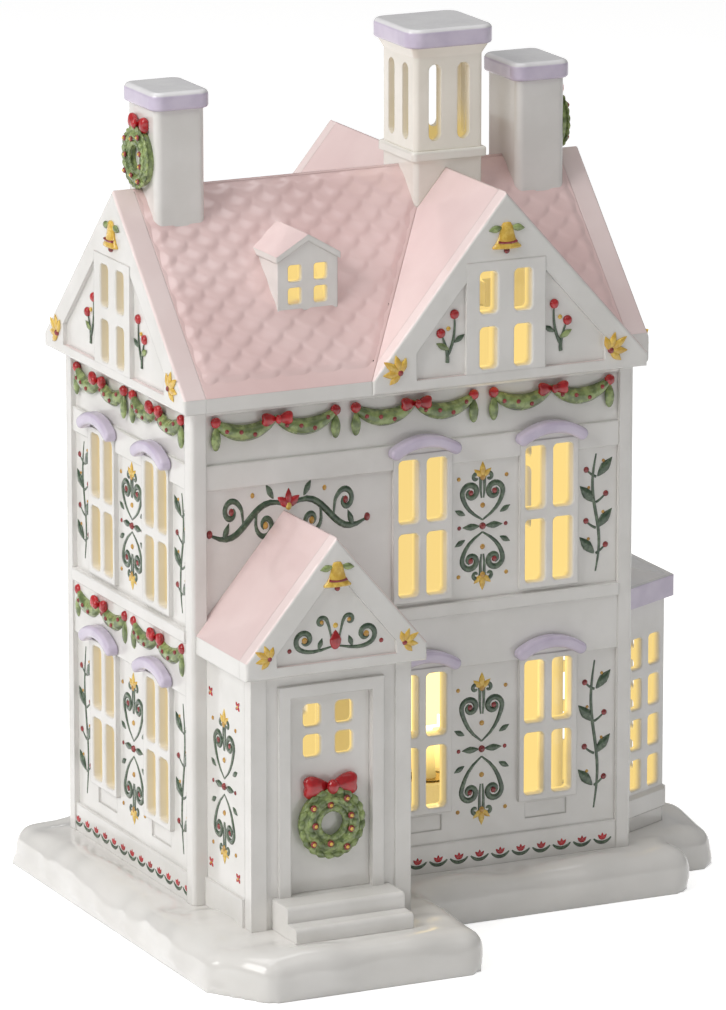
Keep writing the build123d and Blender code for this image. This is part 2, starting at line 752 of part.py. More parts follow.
with BuildPart() as cupola_well:
    with BuildSketch(level(0)):
        with Locations((cupola_x, 0)):
            Rectangle(CUPOLA_WELL, CUPOLA_WELL)
    extrude(amount=ridge)

main_profile = (main_run, main_heel, wall_height, FASCIA, ridge, ROOF_DROP)
MAIN_SLOPES = (
    ("main_roof_front_left", -1, -roof_end, cross_x),
    ("main_roof_front_right", -1, cross_x, roof_end),
    ("main_roof_back_left", 1, -roof_end, cross_x),
    ("main_roof_back_right", 1, cross_x, roof_end),
)
for name, side, start, stop in MAIN_SLOPES:
    slope_part = roof_slope(along_x, *main_profile, side, start, stop)
    with slope_part:
        add(cross_volume.part, mode=Mode.SUBTRACT)
        if name == "main_roof_front_left":
            add(dormer_well.part, mode=Mode.SUBTRACT)
    keep(slope_part, name)

cross_left = (cross_left_run, cross_left_heel, wall_height, FASCIA, ridge, ROOF_DROP)
cross_right = (cross_right_run, cross_right_heel, wall_height, FASCIA, ridge, ROOF_DROP)
rear_end = GABLE_SLAB - rear_gable_y
CROSS_SLOPES = (
    ("cross_roof_front_left", cross_left, -1, 0, front_end),
    ("cross_roof_front_right", cross_right, 1, 0, front_end),
    ("cross_roof_rear_left", cross_left, -1, rear_end, 0),
    ("cross_roof_rear_right", cross_right, 1, rear_end, 0),
)
for name, profile, side, start, stop in CROSS_SLOPES:
    slope_part = roof_slope(along_y, *profile, side, start, stop)
    with slope_part:
        add(attic.part, mode=Mode.SUBTRACT)
        add(cupola_well.part, mode=Mode.SUBTRACT)
        if name == "cross_roof_front_right":
            split(bisect_by=along_x.offset(roof_end), keep=Keep.BOTTOM)
        if name == "cross_roof_rear_right":
            add(right_gable.part, mode=Mode.SUBTRACT)
    keep(slope_part, name)


# Dormer on the left part of the front slope

dormer_plane = upright(DORMER_X, -dormer_face, RIGHTWARD, FRONTWARD)
dormer_half = DORMER_WIDTH / 2
dormer_slope = (dormer_peak - dormer_eaves) / dormer_half
dormer_inner_half = dormer_half - DORMER_WALL
dormer_inner_peak = dormer_peak - DORMER_WALL * hypot(1, dormer_slope)
dormer_foot = rake_height(ridge, main_slope, main_run)

with BuildPart() as dormer_walls:
    with BuildSketch(dormer_plane):
        Polygon(
            (-dormer_half, dormer_foot),
            (dormer_half, dormer_foot),
            (dormer_half, dormer_eaves),
            (0, dormer_peak),
            (-dormer_half, dormer_eaves),
            align=None,
        )
    extrude(amount=-dormer_face)
    with BuildSketch(dormer_plane.offset(-DORMER_WALL)):
        Polygon(
            (-dormer_inner_half, dormer_foot),
            (dormer_inner_half, dormer_foot),
            (dormer_inner_half, rake_height(dormer_inner_peak, dormer_slope, dormer_inner_half)),
            (0, dormer_inner_peak),
            (-dormer_inner_half, rake_height(dormer_inner_peak, dormer_slope, dormer_inner_half)),
            align=None,
        )
    extrude(amount=-dormer_face, mode=Mode.SUBTRACT)
    with BuildSketch(dormer_plane):
        with Locations((0, dormer_pane_middle)):
            with GridLocations(DORMER_PANE_PITCH_X, DORMER_PANE_PITCH_Z, 2, 2):
                RectangleRounded(DORMER_PANE_WIDTH, DORMER_PANE_HEIGHT, DORMER_PANE_ROUND)
    extrude(amount=-2 * DORMER_WALL, mode=Mode.SUBTRACT)
    add(main_volume.part, mode=Mode.SUBTRACT)
keep(dormer_walls, "dormer_walls")

dormer_reach = dormer_half + DORMER_SIDE_OVERHANG
dormer_lip = rake_height(dormer_peak, dormer_slope, dormer_reach)
with BuildPart() as dormer_roof:
    with BuildSketch(dormer_plane.offset(DORMER_FRONT_OVERHANG)):
        Polygon(
            (-dormer_reach, dormer_lip),
            (0, dormer_peak),
            (dormer_reach, dormer_lip),
            (dormer_reach, dormer_lip + DORMER_ROOF_DROP),
            (0, dormer_peak + DORMER_ROOF_DROP),
            (-dormer_reach, dormer_lip + DORMER_ROOF_DROP),
            align=None,
        )
    extrude(amount=-dormer_face - DORMER_FRONT_OVERHANG)
    add(main_volume.part, mode=Mode.SUBTRACT)
keep(dormer_roof, "dormer_roof")


# Chimneys astride the main ridge, each with a cap

def chimney(x, top):
    """Hollow chimney shaft, fitted over the roof."""
    with BuildPart() as shaft:
        with BuildSketch(level(ridge - CHIMNEY_DEPTH)):
            with Locations((x, 0)):
                RectangleRounded(CHIMNEY_WIDTH, CHIMNEY_DEPTH, CHIMNEY_ROUND)
                Rectangle(
                    CHIMNEY_WIDTH - 2 * CHIMNEY_WALL, CHIMNEY_DEPTH - 2 * CHIMNEY_WALL, mode=Mode.SUBTRACT
                )
        extrude(amount=top - ridge + CHIMNEY_DEPTH)
        add(main_volume.part, mode=Mode.SUBTRACT)
    return shaft


def chimney_cap(x, top):
    """Cap with softly rounded edges."""
    with BuildPart() as cap:
        with BuildSketch(level(top)):
            with Locations((x, 0)):
                RectangleRounded(
                    CHIMNEY_WIDTH + 2 * CHIMNEY_CAP_OVERHANG,
                    CHIMNEY_DEPTH + 2 * CHIMNEY_CAP_OVERHANG,
                    CHIMNEY_ROUND + CHIMNEY_CAP_OVERHANG,
                )
        extrude(amount=CHIMNEY_CAP_HEIGHT)
        fillet(cap.faces().sort_by(Axis.Z)[-1].edges(), CHIMNEY_CAP_ROUND)
        fillet(cap.faces().sort_by(Axis.Z)[0].edges(), CHIMNEY_CAP_ROUND / 2)
    return cap


keep(chimney(-chimney_x, left_chimney_top), "left_chimney")
keep(chimney(chimney_x, right_chimney_top), "right_chimney")
keep(chimney_cap(-chimney_x, left_chimney_top), "left_chimney_cap")
keep(chimney_cap(chimney_x, right_chimney_top), "right_chimney_cap")


# Cupola where the two ridges cross

cupola_bore = CUPOLA_WIDTH - 2 * CUPOLA_WALL
with BuildPart() as cupola_pedestal:
    with BuildSketch(level(ridge - CUPOLA_WIDTH)):
        with Locations((cupola_x, 0)):
            RectangleRounded(CUPOLA_WIDTH, CUPOLA_WIDTH, CUPOLA_ROUND)
    extrude(amount=course_low - ridge + CUPOLA_WIDTH)
    with BuildSketch(level(course_low)):
        with Locations((cupola_x, 0)):
            RectangleRounded(CUPOLA_WIDTH + 2 * COURSE_PROUD, CUPOLA_WIDTH + 2 * COURSE_PROUD, CUPOLA_ROUND)
    extrude(amount=course_top - course_low)
    fillet(cupola_pedestal.faces().sort_by(Axis.Z)[-1].edges(), COURSE_ROUND)
    with BuildSketch(level(course_top)):
        with Locations((cupola_x, 0)):
            Rectangle(cupola_bore, cupola_bore)
    extrude(amount=-CUPOLA_WIDTH * 2, mode=Mode.SUBTRACT)
    add(main_volume.part, mode=Mode.SUBTRACT)
    add(cross_volume.part, mode=Mode.SUBTRACT)
keep(cupola_pedestal, "cupola_pedestal")

with BuildPart() as cupola_arcade:
    with BuildSketch(level(course_top)):
        with Locations((cupola_x, 0)):
            RectangleRounded(CUPOLA_WIDTH, CUPOLA_WIDTH, CUPOLA_ROUND)
            Rectangle(cupola_bore, cupola_bore, mode=Mode.SUBTRACT)
    extrude(amount=cove_low - course_top)
    with BuildSketch(level(cove_low)):
        with Locations((cupola_x, 0)):
            RectangleRounded(CUPOLA_WIDTH, CUPOLA_WIDTH, CUPOLA_ROUND)
    with BuildSketch(level(cove_top)):
        with Locations((cupola_x, 0)):
            RectangleRounded(
                CUPOLA_WIDTH + CUPOLA_CAP_OVERHANG, CUPOLA_WIDTH + CUPOLA_CAP_OVERHANG, CUPOLA_ROUND
            )
    loft()
    for middle in (upright(cupola_x, 0, RIGHTWARD, FRONTWARD), upright(cupola_x, 0, BACKWARD, RIGHTWARD)):
        with BuildSketch(middle):
            with Locations((0, (slot_low + slot_top) / 2)):
                with GridLocations(SLOT_PITCH, 1, 2, 1):
                    SlotOverall(slot_top - slot_low, SLOT_WIDTH, rotation=90)
        extrude(amount=CUPOLA_WIDTH, both=True, mode=Mode.SUBTRACT)
keep(cupola_arcade, "cupola_arcade")

with BuildPart() as cupola_cap:
    with BuildSketch(level(cove_top)):
        with Locations((cupola_x, 0)):
            RectangleRounded(
                CUPOLA_WIDTH + 2 * CUPOLA_CAP_OVERHANG,
                CUPOLA_WIDTH + 2 * CUPOLA_CAP_OVERHANG,
                CUPOLA_ROUND + CUPOLA_CAP_OVERHANG,
            )
    extrude(amount=cupola_cap_top - cove_top)
    fillet(cupola_cap.faces().sort_by(Axis.Z)[-1].edges(), CUPOLA_CAP_ROUND)
    fillet(cupola_cap.faces().sort_by(Axis.Z)[0].edges(), CUPOLA_CAP_ROUND / 2)
keep(cupola_cap, "cupola_cap")


# Porch: front with its architrave, door, two sides, gable and two roof slopes

with BuildPart() as porch_front:
    with BuildSketch(porch_front_plane):
        Rectangle(PORCH_WIDTH, porch_height, align=LOW)
    extrude(amount=-PORCH_WALL)
    with BuildSketch(porch_front_plane):
        with GridLocations(PORCH_WIDTH - PILASTER_WIDTH, 1, 2, 1):
            Rectangle(PILASTER_WIDTH, porch_height, align=LOW)
    extrude(amount=PILASTER_PROUD)
    with BuildSketch(porch_front_plane):
        Rectangle(DOOR_WIDTH + 2 * ARCHITRAVE, UPPER_STEP_HEIGHT + DOOR_HEIGHT + ARCHITRAVE, align=LOW)
    extrude(amount=ARCHITRAVE_PROUD)
    with BuildSketch(porch_front_plane.offset(ARCHITRAVE_PROUD)):
        with Locations((0, UPPER_STEP_HEIGHT)):
            Rectangle(DOOR_WIDTH, DOOR_HEIGHT, align=LOW)
    extrude(amount=-2 * PORCH_WALL, mode=Mode.SUBTRACT)
keep(porch_front, "porch_front")

with BuildPart() as porch_door:
    with BuildSketch(door_plane):
        with Locations((0, UPPER_STEP_HEIGHT)):
            Rectangle(DOOR_WIDTH, DOOR_HEIGHT, align=LOW)
        with Locations((0, door_pane_middle)):
            with GridLocations(DOOR_PANE_PITCH_X, DOOR_PANE_PITCH_Z, 2, 2):
                RectangleRounded(DOOR_PANE_WIDTH, DOOR_PANE_HEIGHT, DOOR_PANE_ROUND, mode=Mode.SUBTRACT)
    extrude(amount=DOOR_SET_BACK - PORCH_WALL)
    door_skin = porch_door.faces().filter_by(lambda f: abs(depth_on(door_plane, f)) < RIM_ROUND / 2)
    fillet([e for w in door_skin[0].inner_wires() for e in w.edges()], RIM_ROUND)
keep(porch_door, "porch_door")

porch_side_end = porch_face - PORCH_WALL
porch_side_length = porch_side_end - field_y
porch_side_middle = -(porch_side_end + field_y) / 2


def porch_side(x, right, outward):
    """Side wall of the porch with a low skirting, butted against the front wall."""
    plane = upright(x, porch_side_middle, right, outward)
    with BuildPart() as side_part:
        with BuildSketch(plane):
            Rectangle(porch_side_length, porch_height, align=LOW)
        extrude(amount=-PORCH_WALL)
        with BuildSketch(plane):
            Rectangle(porch_side_length, PORCH_SKIRTING, align=LOW)
        extrude(amount=PORCH_SKIRTING_PROUD)
        add(front_wall.part, mode=Mode.SUBTRACT)
        add(corner_posts.part, mode=Mode.SUBTRACT)
    return side_part


keep(porch_side(porch_x - PORCH_WIDTH / 2, FRONTWARD, LEFTWARD), "porch_left_wall")
keep(porch_side(porch_x + PORCH_WIDTH / 2, BACKWARD, RIGHTWARD), "porch_right_wall")

porch_gable_face = upright(porch_x, -porch_gable_y, RIGHTWARD, FRONTWARD)
porch_gable = gable_end(
    porch_gable_face,
    porch_run,
    porch_run,
    porch_height,
    PORCH_FASCIA,
    porch_ridge,
    PORCH_GABLE_SLAB,
    PORCH_GABLE_CORNER,
    porch_field_top,
    window=False,
)
keep(porch_gable, "porch_gable")

porch_ridge_plane = upright(porch_x, -field_y, RIGHTWARD, FRONTWARD)
porch_roof_length = porch_gable_y - PORCH_GABLE_SLAB - field_y
porch_heel = PORCH_OVERHANG + PORCH_WALL
porch_profile = (porch_run, porch_heel, porch_height, PORCH_FASCIA, porch_ridge, PORCH_ROOF_DROP)
for name, side in (("porch_roof_left", -1), ("porch_roof_right", 1)):
    slope_part = roof_slope(porch_ridge_plane, *porch_profile, side, 0, porch_roof_length)
    with slope_part:
        add(front_wall.part, mode=Mode.SUBTRACT)
        add(corner_posts.part, mode=Mode.SUBTRACT)
    keep(slope_part, name)

step_plane = upright(porch_x - STEP_WIDTH / 2, 0, BACKWARD, RIGHTWARD)
with BuildPart() as porch_steps:
    with BuildSketch(step_plane):
        Polygon(
            (-porch_face, 0),
            (-porch_face, UPPER_STEP_HEIGHT),
            (-porch_face - UPPER_STEP_DEPTH, UPPER_STEP_HEIGHT),
            (-porch_face - UPPER_STEP_DEPTH, LOWER_STEP_HEIGHT),
            (-steps_front, LOWER_STEP_HEIGHT),
            (-steps_front, 0),
            align=None,
        )
    extrude(amount=STEP_WIDTH)
    upper_nosing = porch_steps.faces().sort_by(Axis.Z)[-1].edges().sort_by(Axis.Y)[0]
    lower_nosing = porch_steps.faces().sort_by(Axis.Y)[0].edges().sort_by(Axis.Z)[-1]
    fillet([upper_nosing, lower_nosing], STEP_ROUND)
    add(porch_front.part, mode=Mode.SUBTRACT)
keep(porch_steps, "porch_steps")


# Bay on the right wall: two canted sides, a face and a hipped roof, mitred where they meet

def bay_corner(grow, side):
    """Corner of the bay's plan at its face, grown outwards. side is -1 in front and 1 behind."""
    return (bay_face + grow, side * (bay_half + grow * (bay_side_length - BAY_CANT) / bay_run))


def bay_foot(grow, side):
    """Where a side of the bay's plan, grown outwards, meets the right wall."""
    return (field_x, side * (bay_root + grow * bay_side_length / bay_run))


def bay_wall(plane, plan, length, middle, width, pitch, columns):
    """Wall of the bay with rows of panes round a place along it and a sill moulding above the plinth."""
    with BuildPart() as panel:
        with BuildSketch(level(0)):
            Polygon(*plan, align=None)
        extrude(amount=bay_height)
        with BuildSketch(plane):
            with Locations((middle, bay_pane_middle)):
                with GridLocations(pitch, BAY_PANE_PITCH_Z, columns, BAY_PANE_ROWS):
                    RectangleRounded(width, BAY_PANE_HEIGHT, BAY_PANE_ROUND)
        extrude(amount=-2 * BAY_WALL, mode=Mode.SUBTRACT)
        skin = panel.faces().filter_by(lambda f: abs(depth_on(plane, f)) < RIM_ROUND / 2)
        fillet([e for w in skin[0].inner_wires() for e in w.edges()], RIM_ROUND)
        with BuildSketch(plane):
            with Locations((0, BAY_PLINTH)):
                Rectangle(length, BAY_SILL_TOP - BAY_PLINTH, align=LOW)
        extrude(amount=BAY_SILL_PROUD, taper=BAY_SILL_TAPER)
    return panel


bay_side_x = (bay_face + field_x) / 2
bay_side_y = (bay_root + bay_half) / 2
bay_front_plane = upright(bay_side_x, -bay_side_y, (bay_run, BAY_CANT, 0), (BAY_CANT, -bay_run, 0))
bay_back_plane = upright(bay_side_x, bay_side_y, (-bay_run, BAY_CANT, 0), (BAY_CANT, bay_run, 0))
bay_face_plane = upright(bay_face, 0, BACKWARD, RIGHTWARD)
bay_side_panes = BAY_SIDE_PANE_WIDTH + (BAY_SIDE_COLUMNS - 1) * BAY_SIDE_PANE_PITCH
bay_pane_shift = (bay_side_length - bay_side_panes) / 2 - BAY_SIDE_PANE_EDGE
for name, plane, side in (("bay_front_side", bay_front_plane, -1), ("bay_back_side", bay_back_plane, 1)):
    side_part = bay_wall(
        plane,
        (bay_foot(0, side), bay_corner(0, side), bay_corner(-BAY_WALL, side), bay_foot(-BAY_WALL, side)),
        bay_side_length,
        -side * bay_pane_shift,
        BAY_SIDE_PANE_WIDTH,
        BAY_SIDE_PANE_PITCH,
        BAY_SIDE_COLUMNS,
    )
    with side_part:
        add(right_wall.part, mode=Mode.SUBTRACT)
    keep(side_part, name)
bay_face_wall = bay_wall(
    bay_face_plane,
    (bay_corner(0, -1), bay_corner(0, 1), bay_corner(-BAY_WALL, 1), bay_corner(-BAY_WALL, -1)),
    2 * bay_half,
    0,
    BAY_FACE_PANE_WIDTH,
    BAY_FACE_PANE_PITCH,
    bay_face_columns,
)
keep(bay_face_wall, "bay_face")

bay_eaves = BAY_OVERHANG - BAY_ROOF_ROUND
bay_top_root = bay_root - BAY_ROOF_INSET
bay_top_half = bay_top_root - BAY_ROOF_BACK * BAY_CANT / bay_run
with BuildPart() as bay_roof:
    with BuildSketch(level(bay_height)):
        Polygon(
            bay_foot(BAY_OVERHANG, -1),
            bay_corner(BAY_OVERHANG, -1),
            bay_corner(BAY_OVERHANG, 1),
            bay_foot(BAY_OVERHANG, 1),
            align=None,
        )
    extrude(amount=BAY_CORNICE)
    with BuildSketch(level(bay_height + BAY_CORNICE)):
        Polygon(
            bay_foot(bay_eaves, -1),
            bay_corner(bay_eaves, -1),
            bay_corner(bay_eaves, 1),
            bay_foot(bay_eaves, 1),
            align=None,
        )
    with BuildSketch(level(sill_top - BAY_ROOF_TUCK)):
        Polygon(
            (field_x, -bay_top_root),
            (field_x + BAY_ROOF_BACK, -bay_top_half),
            (field_x + BAY_ROOF_BACK, bay_top_half),
            (field_x, bay_top_root),
            align=None,
        )
    loft()
    add(right_wall.part, mode=Mode.SUBTRACT)
keep(bay_roof, "bay_roof")


# Arched hoods over the windows

hood_arc = ThreePointArc((-HOOD_SPAN / 2, 0), (0, HOOD_RISE), (HOOD_SPAN / 2, 0))


def hoods(*walls):
    """A hood on the raised frame over each window of some walls, given as (field, windows)."""
    with BuildPart() as hood_part:
        for field, windows in walls:
            with BuildSketch(field.offset(pad_level)):
                for x, sill in windows:
                    with Locations((x, sill + window_height + HOOD_GAP)):
                        SlotArc(hood_arc, HOOD_THICKNESS)
            extrude(amount=HOOD_PROUD)
            outer = hood_part.faces().filter_by(
                lambda f: abs(depth_on(field, f) - pad_level - HOOD_PROUD) < HOOD_ROUND / 10
            )
            fillet(outer.edges(), HOOD_ROUND)
    return hood_part


keep(hoods((front_field, front_windows)), "front_window_hoods")
keep(hoods((left_field, side_windows)), "left_window_hoods")
keep(hoods((right_field, right_windows)), "right_window_hoods")
keep(hoods((back_field, back_windows), (wing_back_field, wing_windows)), "rear_window_hoods")


# Wreaths and bows

def wreath(spots, ring, tube):
    """Half-round wreaths lying flat on planes, given as (plane, height)."""
    with BuildPart() as ring_part:
        for plane, height in spots:
            middle = plane.origin + plane.y_dir * height
            with BuildSketch(Plane(origin=middle, x_dir=plane.x_dir, z_dir=-plane.y_dir)):
                with Locations((ring, 0)):
                    Circle(tube)
                    Rectangle(2 * tube, tube, align=LOW, mode=Mode.INTERSECT)
            revolve(axis=Axis(middle, plane.z_dir))
    return ring_part


def bow_outline(width, height, knot):
    """Two loops and a knot, as the bow is seen from the front."""
    with Locations((-width / 4, 0), (width / 4, 0)):
        Ellipse(width / 4, height / 2)
    Circle(knot)


def wreath_bow(spots, width, tall, knot, proud, ring_part):
    """Bow in front of the top of each wreath, given as (plane, height)."""
    with BuildPart() as bow_part:
        for plane, height in spots:
            with BuildSketch(plane):
                with Locations((0, height)):
                    bow_outline(width, tall, knot)
            extrude(amount=proud)
        add(ring_part.part, mode=Mode.SUBTRACT)
    return bow_part


chimney_outer = chimney_x + CHIMNEY_WIDTH / 2
left_chimney_face = upright(-chimney_outer, 0, FRONTWARD, LEFTWARD)
right_chimney_face = upright(chimney_outer, 0, BACKWARD, RIGHTWARD)
chimney_faces = (left_chimney_face, right_chimney_face)
door_wreath = wreath([(door_plane, door_wreath_height)], DOOR_WREATH_RING, DOOR_WREATH_TUBE)
chimney_wreaths = wreath(
    [(plane, chimney_wreath_height) for plane in chimney_faces], CHIMNEY_WREATH_RING, CHIMNEY_WREATH_TUBE
)
keep(door_wreath, "door_wreath")
keep(chimney_wreaths, "chimney_wreaths")
door_bow = wreath_bow(
    [(door_plane, door_wreath_height + DOOR_BOW_RISE)],
    DOOR_BOW_WIDTH,
    DOOR_BOW_HEIGHT,
    DOOR_BOW_KNOT,
    DOOR_BOW_PROUD,
    door_wreath,
)
chimney_bows = wreath_bow(
    [(plane, chimney_wreath_height + CHIMNEY_BOW_RISE) for plane in chimney_faces],
    CHIMNEY_BOW_WIDTH,
    CHIMNEY_BOW_HEIGHT,
    CHIMNEY_BOW_KNOT,
    CHIMNEY_BOW_PROUD,
    chimney_wreaths,
)
keep(door_bow, "door_bow")
keep(chimney_bows, "chimney_bows")


# Garlands along the frieze and the middle band, with a bow on each

def swag_arc(span):
    """One of the two swags of a garland, from its end to its bow."""
    return ThreePointArc((0, 0), (span / 4, -GARLAND_DROOP), (span / 2, 0))


front_swag = swag_arc(front_garland_span)
side_swag = swag_arc(side_garland_span)
front_middles = (-front_garland_pitch, 0, front_garland_pitch)
side_middles = pair(0, side_garland_pitch)
mid_field = left_field.offset(PANEL_DEPTH)
GARLANDS = (
    (front_field, front_middles, frieze_garland_height, front_garland_span, front_swag),
    (left_field, side_middles, frieze_garland_height, side_garland_span, side_swag),
    (right_field, side_middles, frieze_garland_height, side_garland_span, side_swag),
    (mid_field, side_middles, mid_garland_height, side_garland_span, side_swag),
    (wing_back_field, side_middles, frieze_garland_height, side_garland_span, side_swag),
    (back_field, [-BACK_WINDOW_X], frieze_garland_height, side_garland_span, side_swag),
)
tail_height = GARLAND_TAIL + GARLAND_THICKNESS / 2

with BuildPart() as garlands:
    for plane, middles, height, span, swag in GARLANDS:
        with BuildSketch(plane):
            for middle in middles:
                with Locations((middle - span / 2, height), (middle, height)):
                    SlotArc(swag, GARLAND_THICKNESS)
                with Locations((middle - span / 2, height), (middle + span / 2, height)):
                    Rectangle(GARLAND_TAIL_WIDTH, tail_height, align=(Align.CENTER, Align.MAX))
        extrude(amount=GARLAND_PROUD)
keep(garlands, "garlands")

with BuildPart() as garland_bows:
    for plane, middles, height, span, swag in GARLANDS:
        with BuildSketch(plane):
            for middle in middles:
                with Locations((middle, height - GARLAND_BOW_DROP)):
                    bow_outline(GARLAND_BOW_WIDTH, GARLAND_BOW_HEIGHT, GARLAND_BOW_KNOT)
        extrude(amount=GARLAND_BOW_PROUD)
    add(garlands.part, mode=Mode.SUBTRACT)
keep(garland_bows, "garland_bows")


# Lamp: holder pushed up through the floor of the base, with spring clips and a screw-in bulb

lamp_foot = Vector(house_x + LAMP_X, house_y + LAMP_Y, 0)
lamp_axis = Axis(lamp_foot, (0, 0, 1))
lamp_section = Plane(origin=lamp_foot, x_dir=RIGHTWARD, z_dir=FRONTWARD)
floor_under = BASE_HEIGHT - BASE_FLOOR
shell_inner = CAP_RADIUS + CAP_CLEARANCE
shell_outer = shell_inner + SHELL_THICKNESS
holder_flange = LAMP_HOLE / 2 + FLANGE_LAP
holder_barrel = LAMP_HOLE / 2 - BARREL_GAP
holder_barrel_top = BASE_HEIGHT + BARREL_RISE
socket_outer = shell_outer + SOCKET_WALL
socket_floor = floor_under + SOCKET_RISE
socket_top = socket_floor + SOCKET_DEPTH

with BuildPart() as lamp_holder:
    with BuildSketch(lamp_section):
        Polygon(
            (0, floor_under - HOLDER_FLANGE_THICKNESS),
            (holder_flange, floor_under - HOLDER_FLANGE_THICKNESS),
            (holder_flange, floor_under),
            (holder_barrel, floor_under),
            (holder_barrel, holder_barrel_top),
            (socket_outer, holder_barrel_top),
            (socket_outer, socket_top),
            (shell_outer, socket_top),
            (shell_outer, socket_floor),
            (0, socket_floor),
            align=None,
        )
    revolve(axis=lamp_axis)
keep(lamp_holder, "lamp_holder")

clip_chord = sqrt((LAMP_HOLE / 2) ** 2 - (CLIP_WIDTH / 2) ** 2)
clip_bow = clip_chord - CLIP_CLEARANCE - CLIP_THICKNESS / 2
clip_foot = floor_under + CLIP_RISE
with BuildPart() as lamp_clips:
    with BuildSketch(lamp_section):
        with BuildLine():
            root = holder_barrel
            ThreePointArc(
                (root + CLIP_THICKNESS / 2, clip_foot),
                (clip_bow, (clip_foot + holder_barrel_top) / 2),
                (root + CLIP_THICKNESS / 2, holder_barrel_top),
            )
            offset(amount=CLIP_THICKNESS / 2)
        make_face()
        mirror(about=Plane.YZ)
    extrude(amount=CLIP_WIDTH / 2, both=True)
    add(lamp_holder.part, mode=Mode.SUBTRACT)
keep(lamp_clips, "lamp_clips")

with BuildPart() as socket_shell:
    with BuildSketch(lamp_section):
        with Locations((shell_inner, socket_floor)):
            Rectangle(SHELL_THICKNESS, socket_top - socket_floor, align=(Align.MIN, Align.MIN))
    revolve(axis=lamp_axis)
keep(socket_shell, "socket_shell")

cap_foot = socket_floor + CONTACT_HEIGHT
thread_root = CAP_RADIUS - CAP_THREAD_DEPTH
with BuildPart() as bulb_cap:
    with BuildSketch(lamp_section):
        with BuildLine():
            points = [(0, cap_foot), (thread_root, cap_foot)]
            for turn in range(CAP_THREADS):
                low = cap_foot + turn * CAP_THREAD_PITCH
                points.append((CAP_RADIUS, low + CAP_THREAD_PITCH / 2))
                points.append((thread_root, low + CAP_THREAD_PITCH))
            Polyline(*points, (thread_root, cap_foot + CAP_HEIGHT), (0, cap_foot + CAP_HEIGHT), close=True)
        make_face()
    revolve(axis=lamp_axis)
keep(bulb_cap, "bulb_cap")

with BuildPart() as bulb_contact:
    with BuildSketch(Plane(lamp_foot).offset(socket_floor + CAP_CLEARANCE)):
        Circle(CONTACT_RADIUS)
    extrude(amount=CONTACT_HEIGHT - CAP_CLEARANCE)
    fillet(bulb_contact.faces().sort_by(Axis.Z)[0].edges(), (CONTACT_HEIGHT - CAP_CLEARANCE) / 2)
keep(bulb_contact, "bulb_contact")

glass_foot = cap_foot + CAP_HEIGHT
bulb_tip = glass_foot + BULB_LENGTH


def glass_profile(inset):
    """Meridian of the bulb's glass from its neck to its tip, moved inwards by an inset."""
    Bezier(
        (BULB_NECK - inset, glass_foot),
        (BULB_SHOULDER - inset, glass_foot + BULB_SHOULDER_RISE),
        (BULB_CROWN - inset, bulb_tip - inset),
        (0, bulb_tip - inset),
    )


with BuildPart() as bulb_glass:
    with BuildSketch(lamp_section):
        with BuildLine():
            glass_profile(0)
            Line((0, bulb_tip), (0, glass_foot))
            Line((0, glass_foot), (BULB_NECK, glass_foot))
        make_face()
        with BuildLine():
            glass_profile(BULB_GLASS)
            Line((0, bulb_tip - BULB_GLASS), (0, glass_foot))
            Line((0, glass_foot), (BULB_NECK - BULB_GLASS, glass_foot))
        make_face(mode=Mode.SUBTRACT)
    revolve(axis=lamp_axis)
keep(bulb_glass, "bulb_glass")

with BuildPart() as bulb_stem:
    with BuildSketch(Plane(lamp_foot).offset(glass_foot)):
        Circle(STEM_RADIUS)
    extrude(amount=STEM_HEIGHT, taper=STEM_TAPER)
    with BuildSketch(Plane(lamp_foot).offset(glass_foot + STEM_HEIGHT)):
        with Locations((-FILAMENT_SPAN / 2, 0)):
            Rectangle(FILAMENT_SPAN, FILAMENT_WIRE, align=(Align.MIN, Align.CENTER))
    extrude(amount=FILAMENT_WIRE)
    with BuildSketch(Plane(lamp_foot).offset(glass_foot + STEM_HEIGHT)):
        with GridLocations(FILAMENT_SPAN - FILAMENT_WIRE, 1, 2, 1):
            Rectangle(FILAMENT_WIRE, FILAMENT_WIRE)
    extrude(amount=FILAMENT_SPAN / 2)
keep(bulb_stem, "bulb_stem")
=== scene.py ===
# %% [markdown]
# # A lit porcelain village house
# The shell pieces come in as finished solids, because their sizes have to be right. What a potter
# and a painter add is made here: glazes, the glow of the lamp inside, soft tiles on the roof and
# the modelled and painted trim. Everything is measured from the solids, so it follows them.

# %% Load the solids and measure the house
import math

import bpy
import numpy as np
from mathutils import Matrix, Vector


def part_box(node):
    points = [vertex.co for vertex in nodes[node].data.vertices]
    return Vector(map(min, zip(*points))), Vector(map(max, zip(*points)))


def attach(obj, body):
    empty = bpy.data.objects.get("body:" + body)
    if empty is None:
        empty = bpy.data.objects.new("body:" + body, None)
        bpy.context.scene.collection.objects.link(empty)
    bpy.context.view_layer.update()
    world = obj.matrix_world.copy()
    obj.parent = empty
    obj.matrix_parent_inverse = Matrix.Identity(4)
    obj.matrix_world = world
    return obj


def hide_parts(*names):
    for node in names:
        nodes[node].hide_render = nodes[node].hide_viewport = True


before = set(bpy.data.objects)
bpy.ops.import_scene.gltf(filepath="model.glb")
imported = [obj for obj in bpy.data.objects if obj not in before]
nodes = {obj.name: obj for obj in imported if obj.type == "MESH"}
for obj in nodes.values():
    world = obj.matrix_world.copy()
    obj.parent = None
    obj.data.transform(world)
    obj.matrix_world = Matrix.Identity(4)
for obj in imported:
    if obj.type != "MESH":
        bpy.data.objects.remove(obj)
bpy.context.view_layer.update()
MM = 0.001
AXES = {"x": 0, "y": 1, "z": 2}


def low(node):
    """Lowest corner of a solid."""
    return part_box(node)[0]


def high(node):
    """Highest corner of a solid."""
    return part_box(node)[1]


